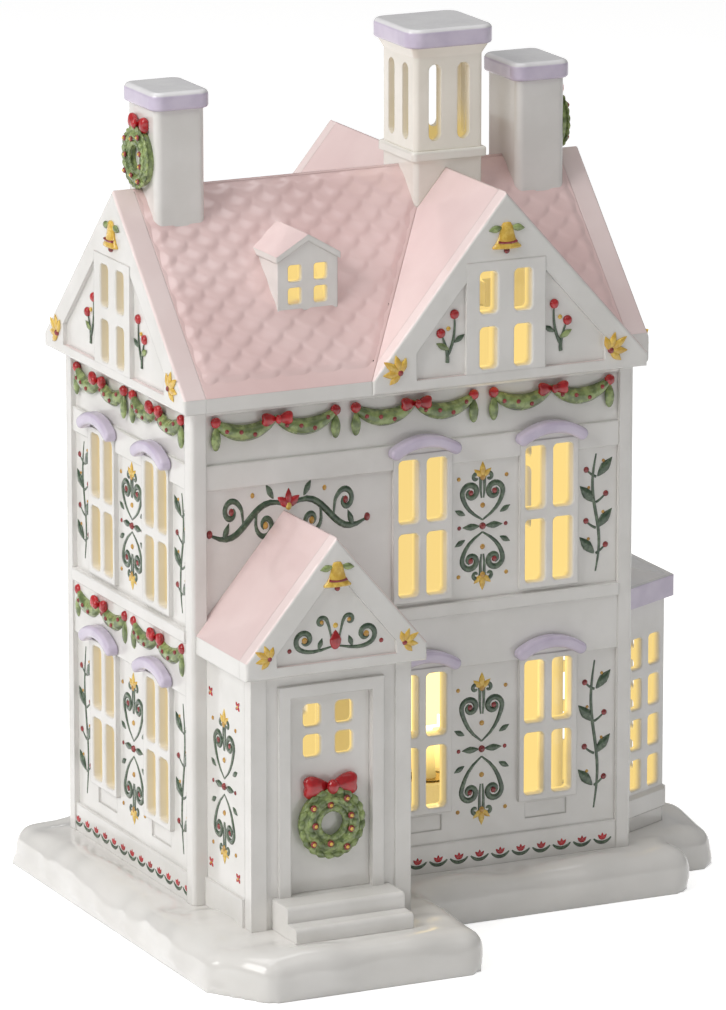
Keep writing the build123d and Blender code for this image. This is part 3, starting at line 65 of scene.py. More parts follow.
house = (low("corner_posts") + high("corner_posts")) / 2
ground_floor = low("corner_posts").z
wall_top = high("corner_posts").z
ridge = high("left_gable").z
print("house middle", [round(v / MM, 2) for v in house[:2]], "ridge", round(ridge / MM, 1))

# %% [markdown]
# The camera stands where the photograph was taken from: a long lens, a little above the roof,
# to the left of the porch. It could be set by eye, but it was solved from the edges of the house,
# so that render and photograph can be laid over each other. Its place is given in millimetres
# from the middle of the house at floor level.

# %% Camera
CAMERA_FROM_HOUSE = Vector((-870.97, -1830.50, 604.35)) * MM
CAMERA_PITCH = 75.88
CAMERA_TURN = -25.56
CAMERA_LENS = 272.17

bpy.ops.object.select_all(action="DESELECT")
bpy.ops.object.camera_add(
    location=Vector((house.x, house.y, ground_floor)) + CAMERA_FROM_HOUSE,
    rotation=(math.radians(CAMERA_PITCH), 0, math.radians(CAMERA_TURN)),
)
camera = bpy.context.object
camera.data.lens = CAMERA_LENS
camera.data.clip_start = 0.05
camera.data.clip_end = 50
bpy.context.scene.camera = camera
print("camera at", [round(v, 3) for v in camera.location])

# %% [markdown]
# Porcelain is judged by soft reflections, so the light is a large soft panel at the left, weaker
# ones in front and above, and an even pale surround. A picture of a studio could light it too, but
# panels can be weakened one by one until no glaze burns out to white. The floor is white to the
# camera and still keeps the house's shadow.

# %% Light and floor
scene = bpy.context.scene
scene.view_settings.view_transform = "Standard"


def connect(tree, kind, inputs=None, **settings):
    """A shader node with its settings, inputs given as values or as sockets to link from."""
    made = tree.nodes.new(kind)
    for key, value in settings.items():
        setattr(made, key, value)
    for key, value in (inputs or {}).items():
        if isinstance(value, bpy.types.NodeSocket):
            tree.links.new(value, made.inputs[key])
        else:
            made.inputs[key].default_value = value
    return made


def panel_light(name, place, target, size, power, colour=(1, 1, 1)):
    """Square soft light that looks at a point."""
    bpy.ops.object.light_add(type="AREA", location=place)
    lamp = bpy.context.object
    lamp.name = name
    lamp.data.size = size
    lamp.data.energy = power
    lamp.data.color = colour
    lamp.rotation_euler = (Vector(target) - Vector(place)).to_track_quat("-Z", "Y").to_euler()
    return lamp


aim = (house.x, house.y, ground_floor + 0.09)
panel_light("key_light", (-1.25, -0.25, 0.95), aim, 0.9, 13.0, (1.0, 0.985, 0.965))
panel_light("front_light", (0.20, -0.95, 1.20), aim, 0.8, 1.4, (1.0, 0.97, 0.93))
panel_light("top_light", (-0.1, 0.2, 1.6), aim, 1.2, 9.0)

SURROUND = 0.24
world = bpy.data.worlds.new("pale_surround")
scene.world = world
world.use_nodes = True
tree = world.node_tree
seen = connect(tree, "ShaderNodeLightPath")
plain = connect(tree, "ShaderNodeBackground", {"Color": (1, 1, 1, 1), "Strength": SURROUND})
white = connect(tree, "ShaderNodeBackground", {"Color": (1, 1, 1, 1), "Strength": 1.0})
either = connect(
    tree,
    "ShaderNodeMixShader",
    {"Fac": seen.outputs["Is Camera Ray"], 1: plain.outputs[0], 2: white.outputs[0]},
)
tree.links.new(either.outputs[0], tree.nodes["World Output"].inputs["Surface"])

FLOOR_SIZE = 16.0
FLOOR_LIFT = 0.62
bpy.ops.mesh.primitive_plane_add(size=FLOOR_SIZE, location=(0, 0, 0))
floor = bpy.context.object
floor.name = "floor"
paper = bpy.data.materials.new("white_paper")
paper.use_nodes = True
tree = paper.node_tree
seen = connect(tree, "ShaderNodeLightPath")
direct = connect(
    tree,
    "ShaderNodeMath",
    {0: seen.outputs["Is Camera Ray"], 1: seen.outputs["Is Glossy Ray"]},
    operation="MAXIMUM",
)
shine = connect(
    tree,
    "ShaderNodeMath",
    {0: direct.outputs[0], 1: seen.outputs["Is Transmission Ray"]},
    operation="MAXIMUM",
)
lift = connect(tree, "ShaderNodeMath", {0: shine.outputs[0], 1: FLOOR_LIFT}, operation="MULTIPLY")
paper_shader = tree.nodes["Principled BSDF"]
paper_shader.inputs["Base Color"].default_value = (0.82, 0.82, 0.82, 1)
paper_shader.inputs["Roughness"].default_value = 0.9
paper_shader.inputs["Emission Color"].default_value = (1, 1, 1, 1)
tree.links.new(lift.outputs[0], paper_shader.inputs["Emission Strength"])
floor.data.materials.append(paper)
print("lights and floor in place")

# %% [markdown]
# The glazes. Each one is a clear gloss coat over a body colour that pools a little unevenly, with
# a faint ripple and edges softened by the glaze. Walls round the lamp also take a glow: a ramp from
# nothing at the outer face to full at the inner face, so panes and reveals are lit as by the bulb.
# Colours could be painted on an unwrapped skin, but noise in the piece's own coordinates needs no
# unwrapping and stays with the piece when it moves.

# %% Glazes
LAMP_GLOW = (0.82, 0.615, 0.225, 1)
UNLIT_BODY = (0.10, 0.07, 0.03, 1)
GLAZE_SOFT_EDGE = 0.55 * MM
RIPPLE_DISTANCE = 0.25 * MM
RIPPLE_SCALE = 160.0
SPECKLE_SCALE = 900.0


def blank_material(name):
    """New material: itself, its node tree, its shader and the place on the piece."""
    mat = bpy.data.materials.new(name)
    mat.use_nodes = True
    tree = mat.node_tree
    where = connect(tree, "ShaderNodeTexCoord").outputs["Object"]
    return mat, tree, tree.nodes["Principled BSDF"], where


def coat(node, mat):
    """Give a solid one material."""
    nodes[node].data.materials.clear()
    nodes[node].data.materials.append(mat)


def noise(tree, where, scale, detail):
    """Smooth noise over the places on a piece."""
    inputs = {"Vector": where, "Scale": scale, "Detail": detail}
    return connect(tree, "ShaderNodeTexNoise", inputs).outputs[0]


def mixed(tree, share, first, second):
    """Colour between two colours by a share."""
    return connect(tree, "ShaderNodeMix", {0: share, 6: first, 7: second}, data_type="RGBA").outputs[2]


def times(tree, first, second, operation="MULTIPLY"):
    """Product of two numbers, or another operation on them."""
    return connect(tree, "ShaderNodeMath", {0: first, 1: second}, operation=operation).outputs[0]


def step(tree, value, start, stop, first=0.0, last=1.0):
    """Smooth step of a number between two values."""
    return connect(
        tree,
        "ShaderNodeMapRange",
        {"Value": value, "From Min": start, "From Max": stop, "To Min": first, "To Max": last},
        interpolation_type="SMOOTHSTEP",
    ).outputs[0]


def glaze(
    name,
    pale,
    deep,
    mottle=70.0,
    rough=0.13,
    ripple=0.10,
    glow=1.0,
    ramps=(),
    upper=None,
    keep=(),
    under=None,
    veil=0.0,
):
    """Glazed porcelain. ramps are (axis or direction, outer, inner) for the glow; upper holds the
    two colours of faces that look up, except where the ramps of keep are full; under is (low, high),
    the heights over which faces that look down begin to glow; veil is light that comes through all over."""
    mat, tree, shader, where = blank_material(name)
    place = connect(tree, "ShaderNodeSeparateXYZ", {0: where}).outputs
    pooled = step(tree, noise(tree, where, mottle, 4.0), 0.32, 0.68)
    colour = mixed(tree, pooled, (*deep, 1), (*pale, 1))
    normal = connect(tree, "ShaderNodeNewGeometry").outputs["Normal"]
    slant = connect(tree, "ShaderNodeSeparateXYZ", {0: normal}).outputs["Z"]

    def along(axis):
        """Distance along an axis, or along a direction."""
        if axis in AXES:
            return place[AXES[axis]]
        dot = connect(tree, "ShaderNodeVectorMath", {0: where, 1: axis}, operation="DOT_PRODUCT")
        return dot.outputs["Value"]

    def within(limits):
        """Product of the ramps: one where all are full."""
        share = 1.0
        for axis, outer, inner in limits:
            share = times(tree, share, step(tree, along(axis), outer, inner))
        return share

    if upper is not None:
        topside = step(tree, slant, 0.25, 0.55)
        if keep:
            topside = times(tree, topside, times(tree, 1.0, within(keep), "SUBTRACT"))
        upper_pale, upper_deep = upper
        colour = mixed(tree, topside, colour, mixed(tree, pooled, (*upper_deep, 1), (*upper_pale, 1)))
    lit = None
    if ramps:
        lit = within([*ramps, *keep])
    if under is not None:
        lit = times(tree, step(tree, slant, -0.1, -0.4), step(tree, place[2], *under))
    if lit is not None:
        colour = mixed(tree, lit, colour, UNLIT_BODY)
        shader.inputs["Emission Color"].default_value = LAMP_GLOW
        strength = times(tree, times(tree, lit, glow), veil, "ADD")
        tree.links.new(strength, shader.inputs["Emission Strength"])
    tree.links.new(colour, shader.inputs["Base Color"])
    speckle = noise(tree, where, SPECKLE_SCALE, 2.0)
    tree.links.new(step(tree, speckle, 0.3, 0.75, rough, rough + 0.06), shader.inputs["Roughness"])
    soft = connect(tree, "ShaderNodeBevel", {"Radius": GLAZE_SOFT_EDGE}, samples=4).outputs[0]
    waves = noise(tree, where, RIPPLE_SCALE, 3.0)
    bump = connect(
        tree,
        "ShaderNodeBump",
        {"Height": waves, "Strength": ripple, "Distance": RIPPLE_DISTANCE, "Normal": soft},
    )
    tree.links.new(bump.outputs[0], shader.inputs["Normal"])
    shader.inputs["Coat Weight"].default_value = 0.35
    shader.inputs["Coat Roughness"].default_value = 0.06
    return mat


WHITE_PALE = (0.84, 0.825, 0.80)
WHITE_DEEP = (0.78, 0.765, 0.735)
PINK_PALE = (0.84, 0.635, 0.62)
PINK_DEEP = (0.77, 0.56, 0.545)
BLUSH_PALE = (0.84, 0.67, 0.655)
BLUSH_DEEP = (0.79, 0.61, 0.60)
RIM_PALE = (0.87, 0.735, 0.72)
RIM_DEEP = (0.83, 0.685, 0.67)
CAP_PALE = (0.82, 0.815, 0.825)
CAP_DEEP = (0.77, 0.76, 0.78)
LAVENDER_PALE = (0.70, 0.63, 0.77)
LAVENDER_DEEP = (0.60, 0.53, 0.68)

porcelain = glaze("white_glaze", WHITE_PALE, WHITE_DEEP)
lavender = glaze("lavender_glaze", LAVENDER_PALE, LAVENDER_DEEP, mottle=120.0)
capping = glaze("cap_glaze", LAVENDER_PALE, LAVENDER_DEEP, mottle=120.0, upper=(CAP_PALE, CAP_DEEP))
eaves_glow = (wall_top + 1.0 * MM, wall_top + 4.0 * MM)
pinks = (PINK_PALE, PINK_DEEP)
blushes = (BLUSH_PALE, BLUSH_DEEP)
rims = (RIM_PALE, RIM_DEEP)
shingle_pink = glaze("roof_pink", WHITE_PALE, WHITE_DEEP, mottle=45.0, upper=pinks, under=eaves_glow)
blush = glaze("blush_pink", WHITE_PALE, WHITE_DEEP, mottle=40.0, upper=blushes, under=eaves_glow)
dormer_pink = glaze("dormer_pink", WHITE_PALE, WHITE_DEEP, mottle=45.0, upper=blushes)
print("glazes made")

# %% [markdown]
# Lamp light comes through the open panes of every wall. Tracing it from the bulb through such
# small openings would leave the panes grainy, so each wall gets the white glaze with its own glow
# ramp, measured from its solid: a little way in from the outer face the light begins, and at the
# inner face it is full. Ramps across the corners keep the glow off the ends of the walls.

# %% Glow in the walls
REVEAL_START = 0.5 * MM
BAND_DEPTH = 1.0 * MM
POST_PROUD = 0.4 * MM
SILL_PROUD = 0.8 * MM
PANEL_WALL = 3.0 * MM
PORCH_BAND = 0.7 * MM
PORCH_WALL = 3.2 * MM
PORCH_START = 1.5 * MM
GABLE_SLAB = 4.5 * MM
SIDE_GABLE_SLAB = 6.5 * MM
BAY_WALL = 2.6 * MM


def inward(axis, face, sign, depth, start=REVEAL_START):
    """Glow ramp that starts just behind a face and is full at a depth. sign points into the house."""
    return axis, face + sign * start, face + sign * depth


def broad_face(node, towards):
    """Normal of a solid's widest flat face that looks some way, and its distance along that normal."""
    areas = {}
    for face in nodes[node].data.polygons:
        if face.normal.dot(Vector(towards)) > 0.7:
            distance = face.normal.dot(face.center)
            plane = (*(round(c, 4) for c in face.normal), round(distance, 5))
            areas[plane] = areas.get(plane, 0.0) + face.area
    widest = max(areas, key=areas.get)
    return widest[:3], widest[3]


def light_wall(node, *ramps, **finish):
    """White glaze with the lamp's glow on one solid."""
    coat(node, glaze(node + "_glaze", WHITE_PALE, WHITE_DEEP, ramps=ramps, **finish))


wall_depth = PANEL_WALL - 0.3 * MM
field_inset = POST_PROUD + BAND_DEPTH
front_field = low("corner_posts").y + field_inset
back_field = high("corner_posts").y - field_inset
left_field = low("corner_posts").x + field_inset
right_field = high("corner_posts").x - field_inset
wing_field = high("wing_back_wall").y - BAND_DEPTH - SILL_PROUD
light_wall("front_wall", inward("y", front_field, 1, wall_depth))
light_wall("back_wall", inward("y", back_field, -1, wall_depth))
light_wall("left_wall", inward("x", left_field, 1, wall_depth))
light_wall("right_wall", inward("x", right_field, -1, wall_depth))
wing_left_field = low("wing_left_wall").x + BAND_DEPTH + SILL_PROUD
wing_right_field = high("wing_right_wall").x - BAND_DEPTH - SILL_PROUD
wing_left = inward("x", wing_left_field, 1, wall_depth)
wing_right = inward("x", wing_right_field, -1, wall_depth)
wing_back = inward("y", wing_field, -1, wall_depth)
light_wall("wing_back_wall", wing_back, wing_left, wing_right)
light_wall("wing_left_wall", wing_left, wing_back)
light_wall("wing_right_wall", wing_right, wing_back)
light_wall("porch_door", inward("y", low("porch_door").y, 1, 2.0 * MM))
porch_left_field = low("porch_left_wall").x + PORCH_BAND
porch_right_field = high("porch_right_wall").x - PORCH_BAND
light_wall("porch_left_wall", inward("x", porch_left_field, 1, PORCH_WALL, PORCH_START))
light_wall("porch_right_wall", inward("x", porch_right_field, -1, PORCH_WALL, PORCH_START))
BAY_SIDES = {"bay_face": (1, 0, 0), "bay_front_side": (0, -1, 0), "bay_back_side": (0, 1, 0)}
for node, towards in BAY_SIDES.items():
    outward, face = broad_face(node, towards)
    light_wall(node, inward(outward, face, -1, BAY_WALL - 0.3 * MM))
GABLE_START = 1.6 * MM
GABLE_WINDOW_HALF = 9.2 * MM
GABLE_WINDOW_TOP = ground_floor + 171.3 * MM
cross_x = house.x + 24.5 * MM


def gable_window(axis, middle):
    """Ramps that are full only about a gable's window."""
    return [
        (axis, middle - GABLE_WINDOW_HALF - MM, middle - GABLE_WINDOW_HALF),
        (axis, middle + GABLE_WINDOW_HALF + MM, middle + GABLE_WINDOW_HALF),
        ("z", GABLE_WINDOW_TOP + MM, GABLE_WINDOW_TOP),
    ]


for node, axis, face, sign, slab, across, middle in (
    ("front_gable", "y", low("front_gable").y, 1, GABLE_SLAB, "x", cross_x),
    ("rear_gable", "y", high("rear_gable").y, -1, GABLE_SLAB, "x", cross_x),
    ("left_gable", "x", low("left_gable").x, 1, SIDE_GABLE_SLAB, "y", house.y),
    ("right_gable", "x", high("right_gable").x, -1, SIDE_GABLE_SLAB, "y", house.y),
):
    depth = inward(axis, face, sign, slab - 0.4 * MM, GABLE_START)
    light_wall(node, depth, upper=rims, keep=gable_window(across, middle))
dormer_low, dormer_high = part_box("dormer_walls")
DORMER_WALL = 2.6 * MM
DORMER_START = 1.4 * MM
dormer_room = [
    inward("y", dormer_low.y, 1, 2.4 * MM, 0.8 * MM),
    inward("x", dormer_low.x, 1, DORMER_WALL, DORMER_START),
    inward("x", dormer_high.x, -1, DORMER_WALL, DORMER_START),
]
light_wall("dormer_walls", *dormer_room)
dormer_eaves = inward("z", low("dormer_roof").z, -1, 2.0 * MM)
# Painted lamp light: the tiles inside the dormer, under its roof, glow as if lit by the bulb and are seen
# through its window.
tile_pink = glaze("tile_pink", PINK_PALE, PINK_DEEP, mottle=45.0, ramps=[*dormer_room, dormer_eaves])
arcade_low, arcade_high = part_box("cupola_arcade")
COVE = 1.4 * MM
ARCADE_WALL = 2.6 * MM
ARCADE_START = 1.2 * MM
ARCADE_DARK = 14 * MM
arcade_sides = [
    inward("x", arcade_low.x + COVE, 1, ARCADE_WALL, ARCADE_START),
    inward("x", arcade_high.x - COVE, -1, ARCADE_WALL, ARCADE_START),
    inward("y", arcade_low.y + COVE, 1, ARCADE_WALL, ARCADE_START),
    inward("y", arcade_high.y - COVE, -1, ARCADE_WALL, ARCADE_START),
]
upward = ("z", arcade_high.z - ARCADE_DARK, arcade_low.z)
light_wall("cupola_arcade", *arcade_sides, upward, glow=0.55, veil=0.1)
light_wall("cupola_pedestal", *arcade_sides, glow=0.6, veil=0.06)
PLAIN_WHITE = (
    "corner_posts",
    "left_chimney",
    "right_chimney",
    "porch_front",
    "porch_steps",
)
for node in PLAIN_WHITE:
    coat(node, porcelain)
coat("porch_gable", glaze("porch_gable_glaze", WHITE_PALE, WHITE_DEEP, upper=rims))
for node in nodes:
    if node in ("left_chimney_cap", "right_chimney_cap", "cupola_cap", "bay_roof"):
        chosen = capping
    elif node.endswith("_hoods"):
        chosen = lavender
    elif node.startswith("main_roof"):
        chosen = shingle_pink
    elif node.startswith(("cross_roof", "porch_roof")):
        chosen = blush
    elif node == "dormer_roof":
        chosen = dormer_pink
    else:
        continue
    coat(node, chosen)
print("glazed solids", len(nodes))

# %% [markdown]
# The lamp is seen only through the panes and from below: white moulded plastic, spring steel,
# brass, and a clear bulb whose filament shines. Its solids are complete, so only finishes are
# added: fine grain for the plastic, and noise stretched along the axis for drawn metal. The glass
# is a thin hollow shell, so it is given a low index and bends light very little.

# %% Lamp finishes
PLASTIC_GRAIN = 2500.0
VEIL_HEIGHT = 16 * MM
STEM_HEIGHT = 14 * MM


def metal(name, colour, rough, brushed):
    """Metal with fine drawn marks along the lamp's axis."""
    mat, tree, shader, where = blank_material(name)
    stretch = connect(tree, "ShaderNodeMapping", {"Vector": where, "Scale": (1.0, 1.0, 0.1)}).outputs[0]
    marks = noise(tree, stretch, brushed, 3.0)
    dull = tuple(c * 0.75 for c in colour)
    tree.links.new(mixed(tree, marks, (*dull, 1), (*colour, 1)), shader.inputs["Base Color"])
    tree.links.new(step(tree, marks, 0.3, 0.7, rough, rough + 0.15), shader.inputs["Roughness"])
    shader.inputs["Metallic"].default_value = 1.0
    return mat


def moulded_plastic():
    """White plastic with a fine moulded grain."""
    mat, tree, shader, where = blank_material("moulded_plastic")
    grain = noise(tree, where, PLASTIC_GRAIN, 2.0)
    colour = mixed(tree, grain, (0.74, 0.73, 0.70, 1), (0.82, 0.81, 0.78, 1))
    tree.links.new(colour, shader.inputs["Base Color"])
    bump = connect(tree, "ShaderNodeBump", {"Height": grain, "Strength": 0.2, "Distance": 0.05 * MM})
    tree.links.new(bump.outputs[0], shader.inputs["Normal"])
    shader.inputs["Roughness"].default_value = 0.45
    return mat


def bulb_clear():
    """Thin clear glass with a warm veil of light near the filament."""
    mat, tree, shader, where = blank_material("bulb_clear")
    height = connect(tree, "ShaderNodeSeparateXYZ", {0: where}).outputs["Z"]
    veil = step(tree, height, low("bulb_glass").z, low("bulb_glass").z + VEIL_HEIGHT, 0.0, 0.5)
    shader.inputs["Base Color"].default_value = (1, 0.97, 0.9, 1)
    shader.inputs["Roughness"].default_value = 0.02
    shader.inputs["Transmission Weight"].default_value = 1.0
    shader.inputs["IOR"].default_value = 1.05
    shader.inputs["Emission Color"].default_value = LAMP_GLOW
    tree.links.new(veil, shader.inputs["Emission Strength"])
    return mat


def filament_light():
    """Glass stem below, glowing wire above."""
    mat, tree, shader, where = blank_material("filament_light")
    height = connect(tree, "ShaderNodeSeparateXYZ", {0: where}).outputs["Z"]
    stem_top = low("bulb_stem").z + STEM_HEIGHT
    hot = step(tree, height, stem_top - 1 * MM, stem_top + 0.5 * MM)
    tree.links.new(mixed(tree, hot, (0.7, 0.72, 0.7, 1), (0.4, 0.25, 0.1, 1)), shader.inputs["Base Color"])
    shader.inputs["Emission Color"].default_value = (1.0, 0.82, 0.5, 1)
    tree.links.new(times(tree, hot, 3.0), shader.inputs["Emission Strength"])
    return mat


brass = metal("rolled_brass", (0.78, 0.58, 0.27), 0.22, 1800.0)
steel = metal("spring_steel", (0.62, 0.63, 0.65), 0.25, 1500.0)
plastic = moulded_plastic()
LAMP_FINISH = {
    "lamp_holder": plastic,
    "lamp_clips": steel,
    "socket_shell": brass,
    "bulb_cap": brass,
    "bulb_contact": brass,
    "bulb_glass": bulb_clear(),
    "bulb_stem": filament_light(),
}
for node, mat in LAMP_FINISH.items():
    coat(node, mat)
print("lamp finished")

# %% [markdown]
# The base is cast as poured snow: its rim is soft and slightly uneven. It could be sculpted by
# hand, but moves in code come out the same each time. A copy of the solid is merged and remeshed
# to an even skin, and its outer skin is moved by a smooth noise that fades out at the table and
# under the walls, where it has to stay true.

# %% Snow base
BASE_VOXEL = 1.1 * MM
SNOW_SWELL = 4.2 * MM
SNOW_LUMP = 21 * MM
LIT_HALF_X = 63 * MM
LIT_HALF_Y = 39 * MM


def only(obj):
    """Make one object the sole selected and active one."""
    bpy.ops.object.select_all(action="DESELECT")
    obj.hide_set(False)
    obj.select_set(True)
    bpy.context.view_layer.objects.active = obj


def copy_of_node(node, name):
    """Merged copy of a solid's mesh as a new object."""
    mesh = nodes[node].data.copy()
    mesh.materials.clear()
    obj = bpy.data.objects.new(name, mesh)
    scene.collection.objects.link(obj)
    only(obj)
    bpy.ops.object.mode_set(mode="EDIT")
    bpy.ops.mesh.select_all(action="SELECT")
    bpy.ops.mesh.remove_doubles(threshold=1e-6)
    bpy.ops.object.mode_set(mode="OBJECT")
    return obj


def apply_all(obj):
    """Apply an object's modifiers in order."""
    only(obj)
    for modifier in list(obj.modifiers):
        bpy.ops.object.modifier_apply(modifier=modifier.name)


snow = copy_of_node("snow_base", "poured_snow")
skin = snow.modifiers.new("skin", "REMESH")
skin.mode = "VOXEL"
skin.voxel_size = BASE_VOXEL
apply_all(snow)
base_low, base_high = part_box("snow_base")
lumps = bpy.data.textures.new("snow_lumps", "CLOUDS")
lumps.noise_scale = SNOW_LUMP
lumps.noise_depth = 1
STANDING = ("corner_posts", "porch_gable", "porch_steps", "bay_roof", "wing_back_wall")
footprints = [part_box(node) for node in STANDING]


def outside(place, lowest, highest):
    """How far a place lies outside a footprint, seen from above."""
    return max(lowest.x - place.x, place.x - highest.x, lowest.y - place.y, place.y - highest.y, 0.0)


group = snow.vertex_groups.new(name="outer_skin")
for vertex in snow.data.vertices:
    clear_of_house = min(outside(vertex.co, *footprint) for footprint in footprints)
    rim = min(1.0, clear_of_house / (6 * MM))
    rise = min(1.0, max(0.0, vertex.co.z - base_low.z - 0.8 * MM) / (3 * MM))
    facing = 1.0 if vertex.normal.z > -0.3 else 0.0
    group.add([vertex.index], rim * rise * facing, "REPLACE")
swell = snow.modifiers.new("swell", "DISPLACE")
swell.texture = lumps
swell.texture_coords = "GLOBAL"
swell.strength = SNOW_SWELL
swell.mid_level = 0.45
swell.vertex_group = "outer_skin"
smooth = snow.modifiers.new("smooth", "SMOOTH")
smooth.factor = 0.5
smooth.iterations = 6
smooth.vertex_group = "outer_skin"
apply_all(snow)
bpy.ops.object.shade_smooth()
# Painted lamp light: inside the walls the top of the base glows, as the floor under the bulb would be lit.
snow_glaze = glaze(
    "snow_glaze",
    WHITE_PALE,
    WHITE_DEEP,
    mottle=40.0,
    ramps=[
        ("x", house.x - LIT_HALF_X, house.x - LIT_HALF_X + 2 * MM),
        ("x", house.x + LIT_HALF_X, house.x + LIT_HALF_X - 2 * MM),
        ("y", house.y - LIT_HALF_Y, house.y - LIT_HALF_Y + 2 * MM),
        ("y", house.y + LIT_HALF_Y, house.y + LIT_HALF_Y - 2 * MM),
        ("z", base_high.z - 3 * MM, base_high.z - 2 * MM),
    ],
)
snow.data.materials.append(snow_glaze)
coat("snow_base", snow_glaze)
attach(snow, "house")
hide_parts("snow_base")
print("snow base", len(snow.data.polygons), "faces")

# %% [markdown]
# The tiles of the main roof are rows of soft scales, each row half a tile on from the one below.
# Copies of one tile would have hard gaps between them, while under a thick glaze the scales melt
# into each other. So a scale is a formula of height over the slope: it rises towards its rounded
# lower edge and drops there. The field is a closed slab on each slope, cut along the valleys, and
# it sinks into the roof at its edges so that no two faces lie in one plane.

# %% Roof tiles
TILE_WIDTH = 9.0 * MM
TILE_ROW = 3.85 * MM
TILE_RELIEF = 0.85 * MM
TILE_EDGE = 1.5 * MM
TILE_FADE = 3.0 * MM
TILE_CELL = 0.6 * MM
TILE_BED = 0.5 * MM
TILE_SINK = 0.3 * MM
EAVES_STRIP = 3.4 * MM
FASCIA = 4.0 * MM
roof_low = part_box("main_roof_front_left")[0]
eave_z = roof_low.z + FASCIA
run = house.y - roof_low.y
rise = ridge - eave_z
slope_length = math.hypot(run, rise)
TILE_LAP = 0.4 * MM
VALLEY_LAP = 0.4 * MM
tiles_left = low("main_roof_front_left").x - TILE_LAP
tiles_right = high("main_roof_back_right").x + TILE_LAP
cross_left_run = cross_x - low("cross_roof_rear_left").x
cross_right_run = high("front_gable").x - cross_x


def scale_height(along, up):
    """Height of the tiles over a slope, on grids of places along the eaves and up the slope."""
    total = np.zeros_like(along)
    row = np.floor(up / TILE_ROW)
    for below in (-2, -1, 0, 1):
        r = row + below
        foot = r * TILE_ROW
        shifted = along / TILE_WIDTH + 0.5 * np.mod(r, 2)
        across = 2 * (shifted - np.floor(shifted) - 0.5)
        edge = foot + TILE_ROW * (0.9 * across**2 - 0.4)
        inside = 1 / (1 + np.exp(-(up - edge) / (0.3 * TILE_EDGE)))
        fall = np.clip(1 - (up - edge) / (2.1 * TILE_ROW), 0, 1)
        crown = 1 - 0.35 * across**2
        total = np.maximum(total, TILE_RELIEF * inside * fall * crown)
    return total


def tile_slab(name, side, start, stop, valley_run, valley_side):
    """Closed slab of tiles on the front (-1) or back (1) slope between two places along the ridge. The
    tiles sink into the roof towards its edges and the valley left (-1) or right (1) of the cross roof."""
    columns = int((stop - start) / TILE_CELL)
    rows = int((slope_length - EAVES_STRIP) / TILE_CELL)
    along = np.linspace(start, stop, columns + 1)
    up = np.linspace(EAVES_STRIP, slope_length, rows + 1)
    grid_x, grid_up = np.meshgrid(along, up)
    valley = cross_x + valley_side * valley_run * (1 - grid_up / slope_length)
    gable = tiles_left if valley_side < 0 else tiles_right
    margins = (
        grid_up - EAVES_STRIP,
        slope_length - grid_up,
        valley_side * (grid_x - valley),
        valley_side * (gable - grid_x),
    )
    shown = np.prod([np.clip(m / TILE_FADE, 0, 1) for m in margins], axis=0)
    tall = scale_height(grid_x, grid_up) * shown - TILE_SINK * (1 - shown)
    normal = Vector((0, side * rise, run)).normalized()
    bpy.ops.object.select_all(action="DESELECT")
    bpy.ops.mesh.primitive_grid_add(x_subdivisions=columns, y_subdivisions=rows, size=1)
    slab = bpy.context.object
    slab.name = name
    share = grid_up / slope_length
    x = grid_x
    y = house.y + side * run * (1 - share) + normal.y * tall
    z = eave_z + rise * share + normal.z * tall
    places = np.stack([x, y, z], axis=-1).reshape(-1, 3)
    slab.data.vertices.foreach_set("co", places.ravel())
    only(slab)
    bpy.ops.object.mode_set(mode="EDIT")
    bpy.ops.mesh.select_all(action="SELECT")
    bpy.ops.mesh.extrude_region_move(TRANSFORM_OT_translate={"value": -normal * TILE_BED})
    bpy.ops.mesh.select_all(action="SELECT")
    bpy.ops.mesh.normals_make_consistent(inside=False)
    bpy.ops.object.mode_set(mode="OBJECT")
    return slab


def cut_at_valley(slab, valley_run, side):
    """Cut a slab of tiles off where the cross roof's left (-1) or right (1) slope rises over it."""
    only(slab)
    bpy.ops.object.mode_set(mode="EDIT")
    bpy.ops.mesh.select_all(action="SELECT")
    bpy.ops.mesh.bisect(
        plane_co=(cross_x, house.y, ridge - VALLEY_LAP),
        plane_no=(side * rise, 0, valley_run),
        use_fill=True,
        clear_inner=True,
    )
    bpy.ops.object.mode_set(mode="OBJECT")


TILED = (
    ("front_left_tiles", -1, tiles_left, cross_x, cross_left_run, -1),
    ("front_right_tiles", -1, cross_x, tiles_right, cross_right_run, 1),
    ("back_left_tiles", 1, tiles_left, cross_x, cross_left_run, -1),
    ("back_right_tiles", 1, cross_x, tiles_right, cross_right_run, 1),
)
for name, side, start, stop, valley_run, valley_side in TILED:
    slab = tile_slab(name, side, start, stop, valley_run, valley_side)
    cut_at_valley(slab, valley_run, valley_side)
    slab.data.shade_smooth()
    slab.data.materials.append(tile_pink)
    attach(slab, "house")
    print(name, len(slab.data.polygons), "faces")

# %% [markdown]
# The trim is hand-painted relief. Each motif is modelled once, flat on its back with its face up.
# Moving each copy by hand would be slow and uneven, so a wall is described by a face: a place on
# it, the direction to the right and the direction out. One motif then serves every wall, and each
# copy is joined into the trim of its own wall.

# %% Faces of the house and setting copies on them


class Face:
    """A wall to set trim on: a point on it at floor level, its right-hand and outward directions."""

    def __init__(self, x, y, right, outward):
        self.origin = Vector((x, y, ground_floor))
        self.right = Vector((*right, 0))
        self.outward = Vector((*outward, 0))

    def matrix(self, u, v, turn=0.0, size=1.0, mirror=False, proud=0.0):
        """Placement at u to the right and v up, in millimetres, turned in degrees."""
        spot = self.origin + self.right * u * MM + Vector((0, 0, v * MM)) + self.outward * proud * MM
        axes = Matrix((self.right, (0, 0, 1), self.outward)).transposed().to_4x4()
        flip = Matrix.Scale(-1, 4, (1, 0, 0)) if mirror else Matrix.Identity(4)
        spin = Matrix.Rotation(math.radians(turn), 4, "Z")
        return Matrix.Translation(spot) @ axes @ flip @ spin @ Matrix.Scale(size, 4)


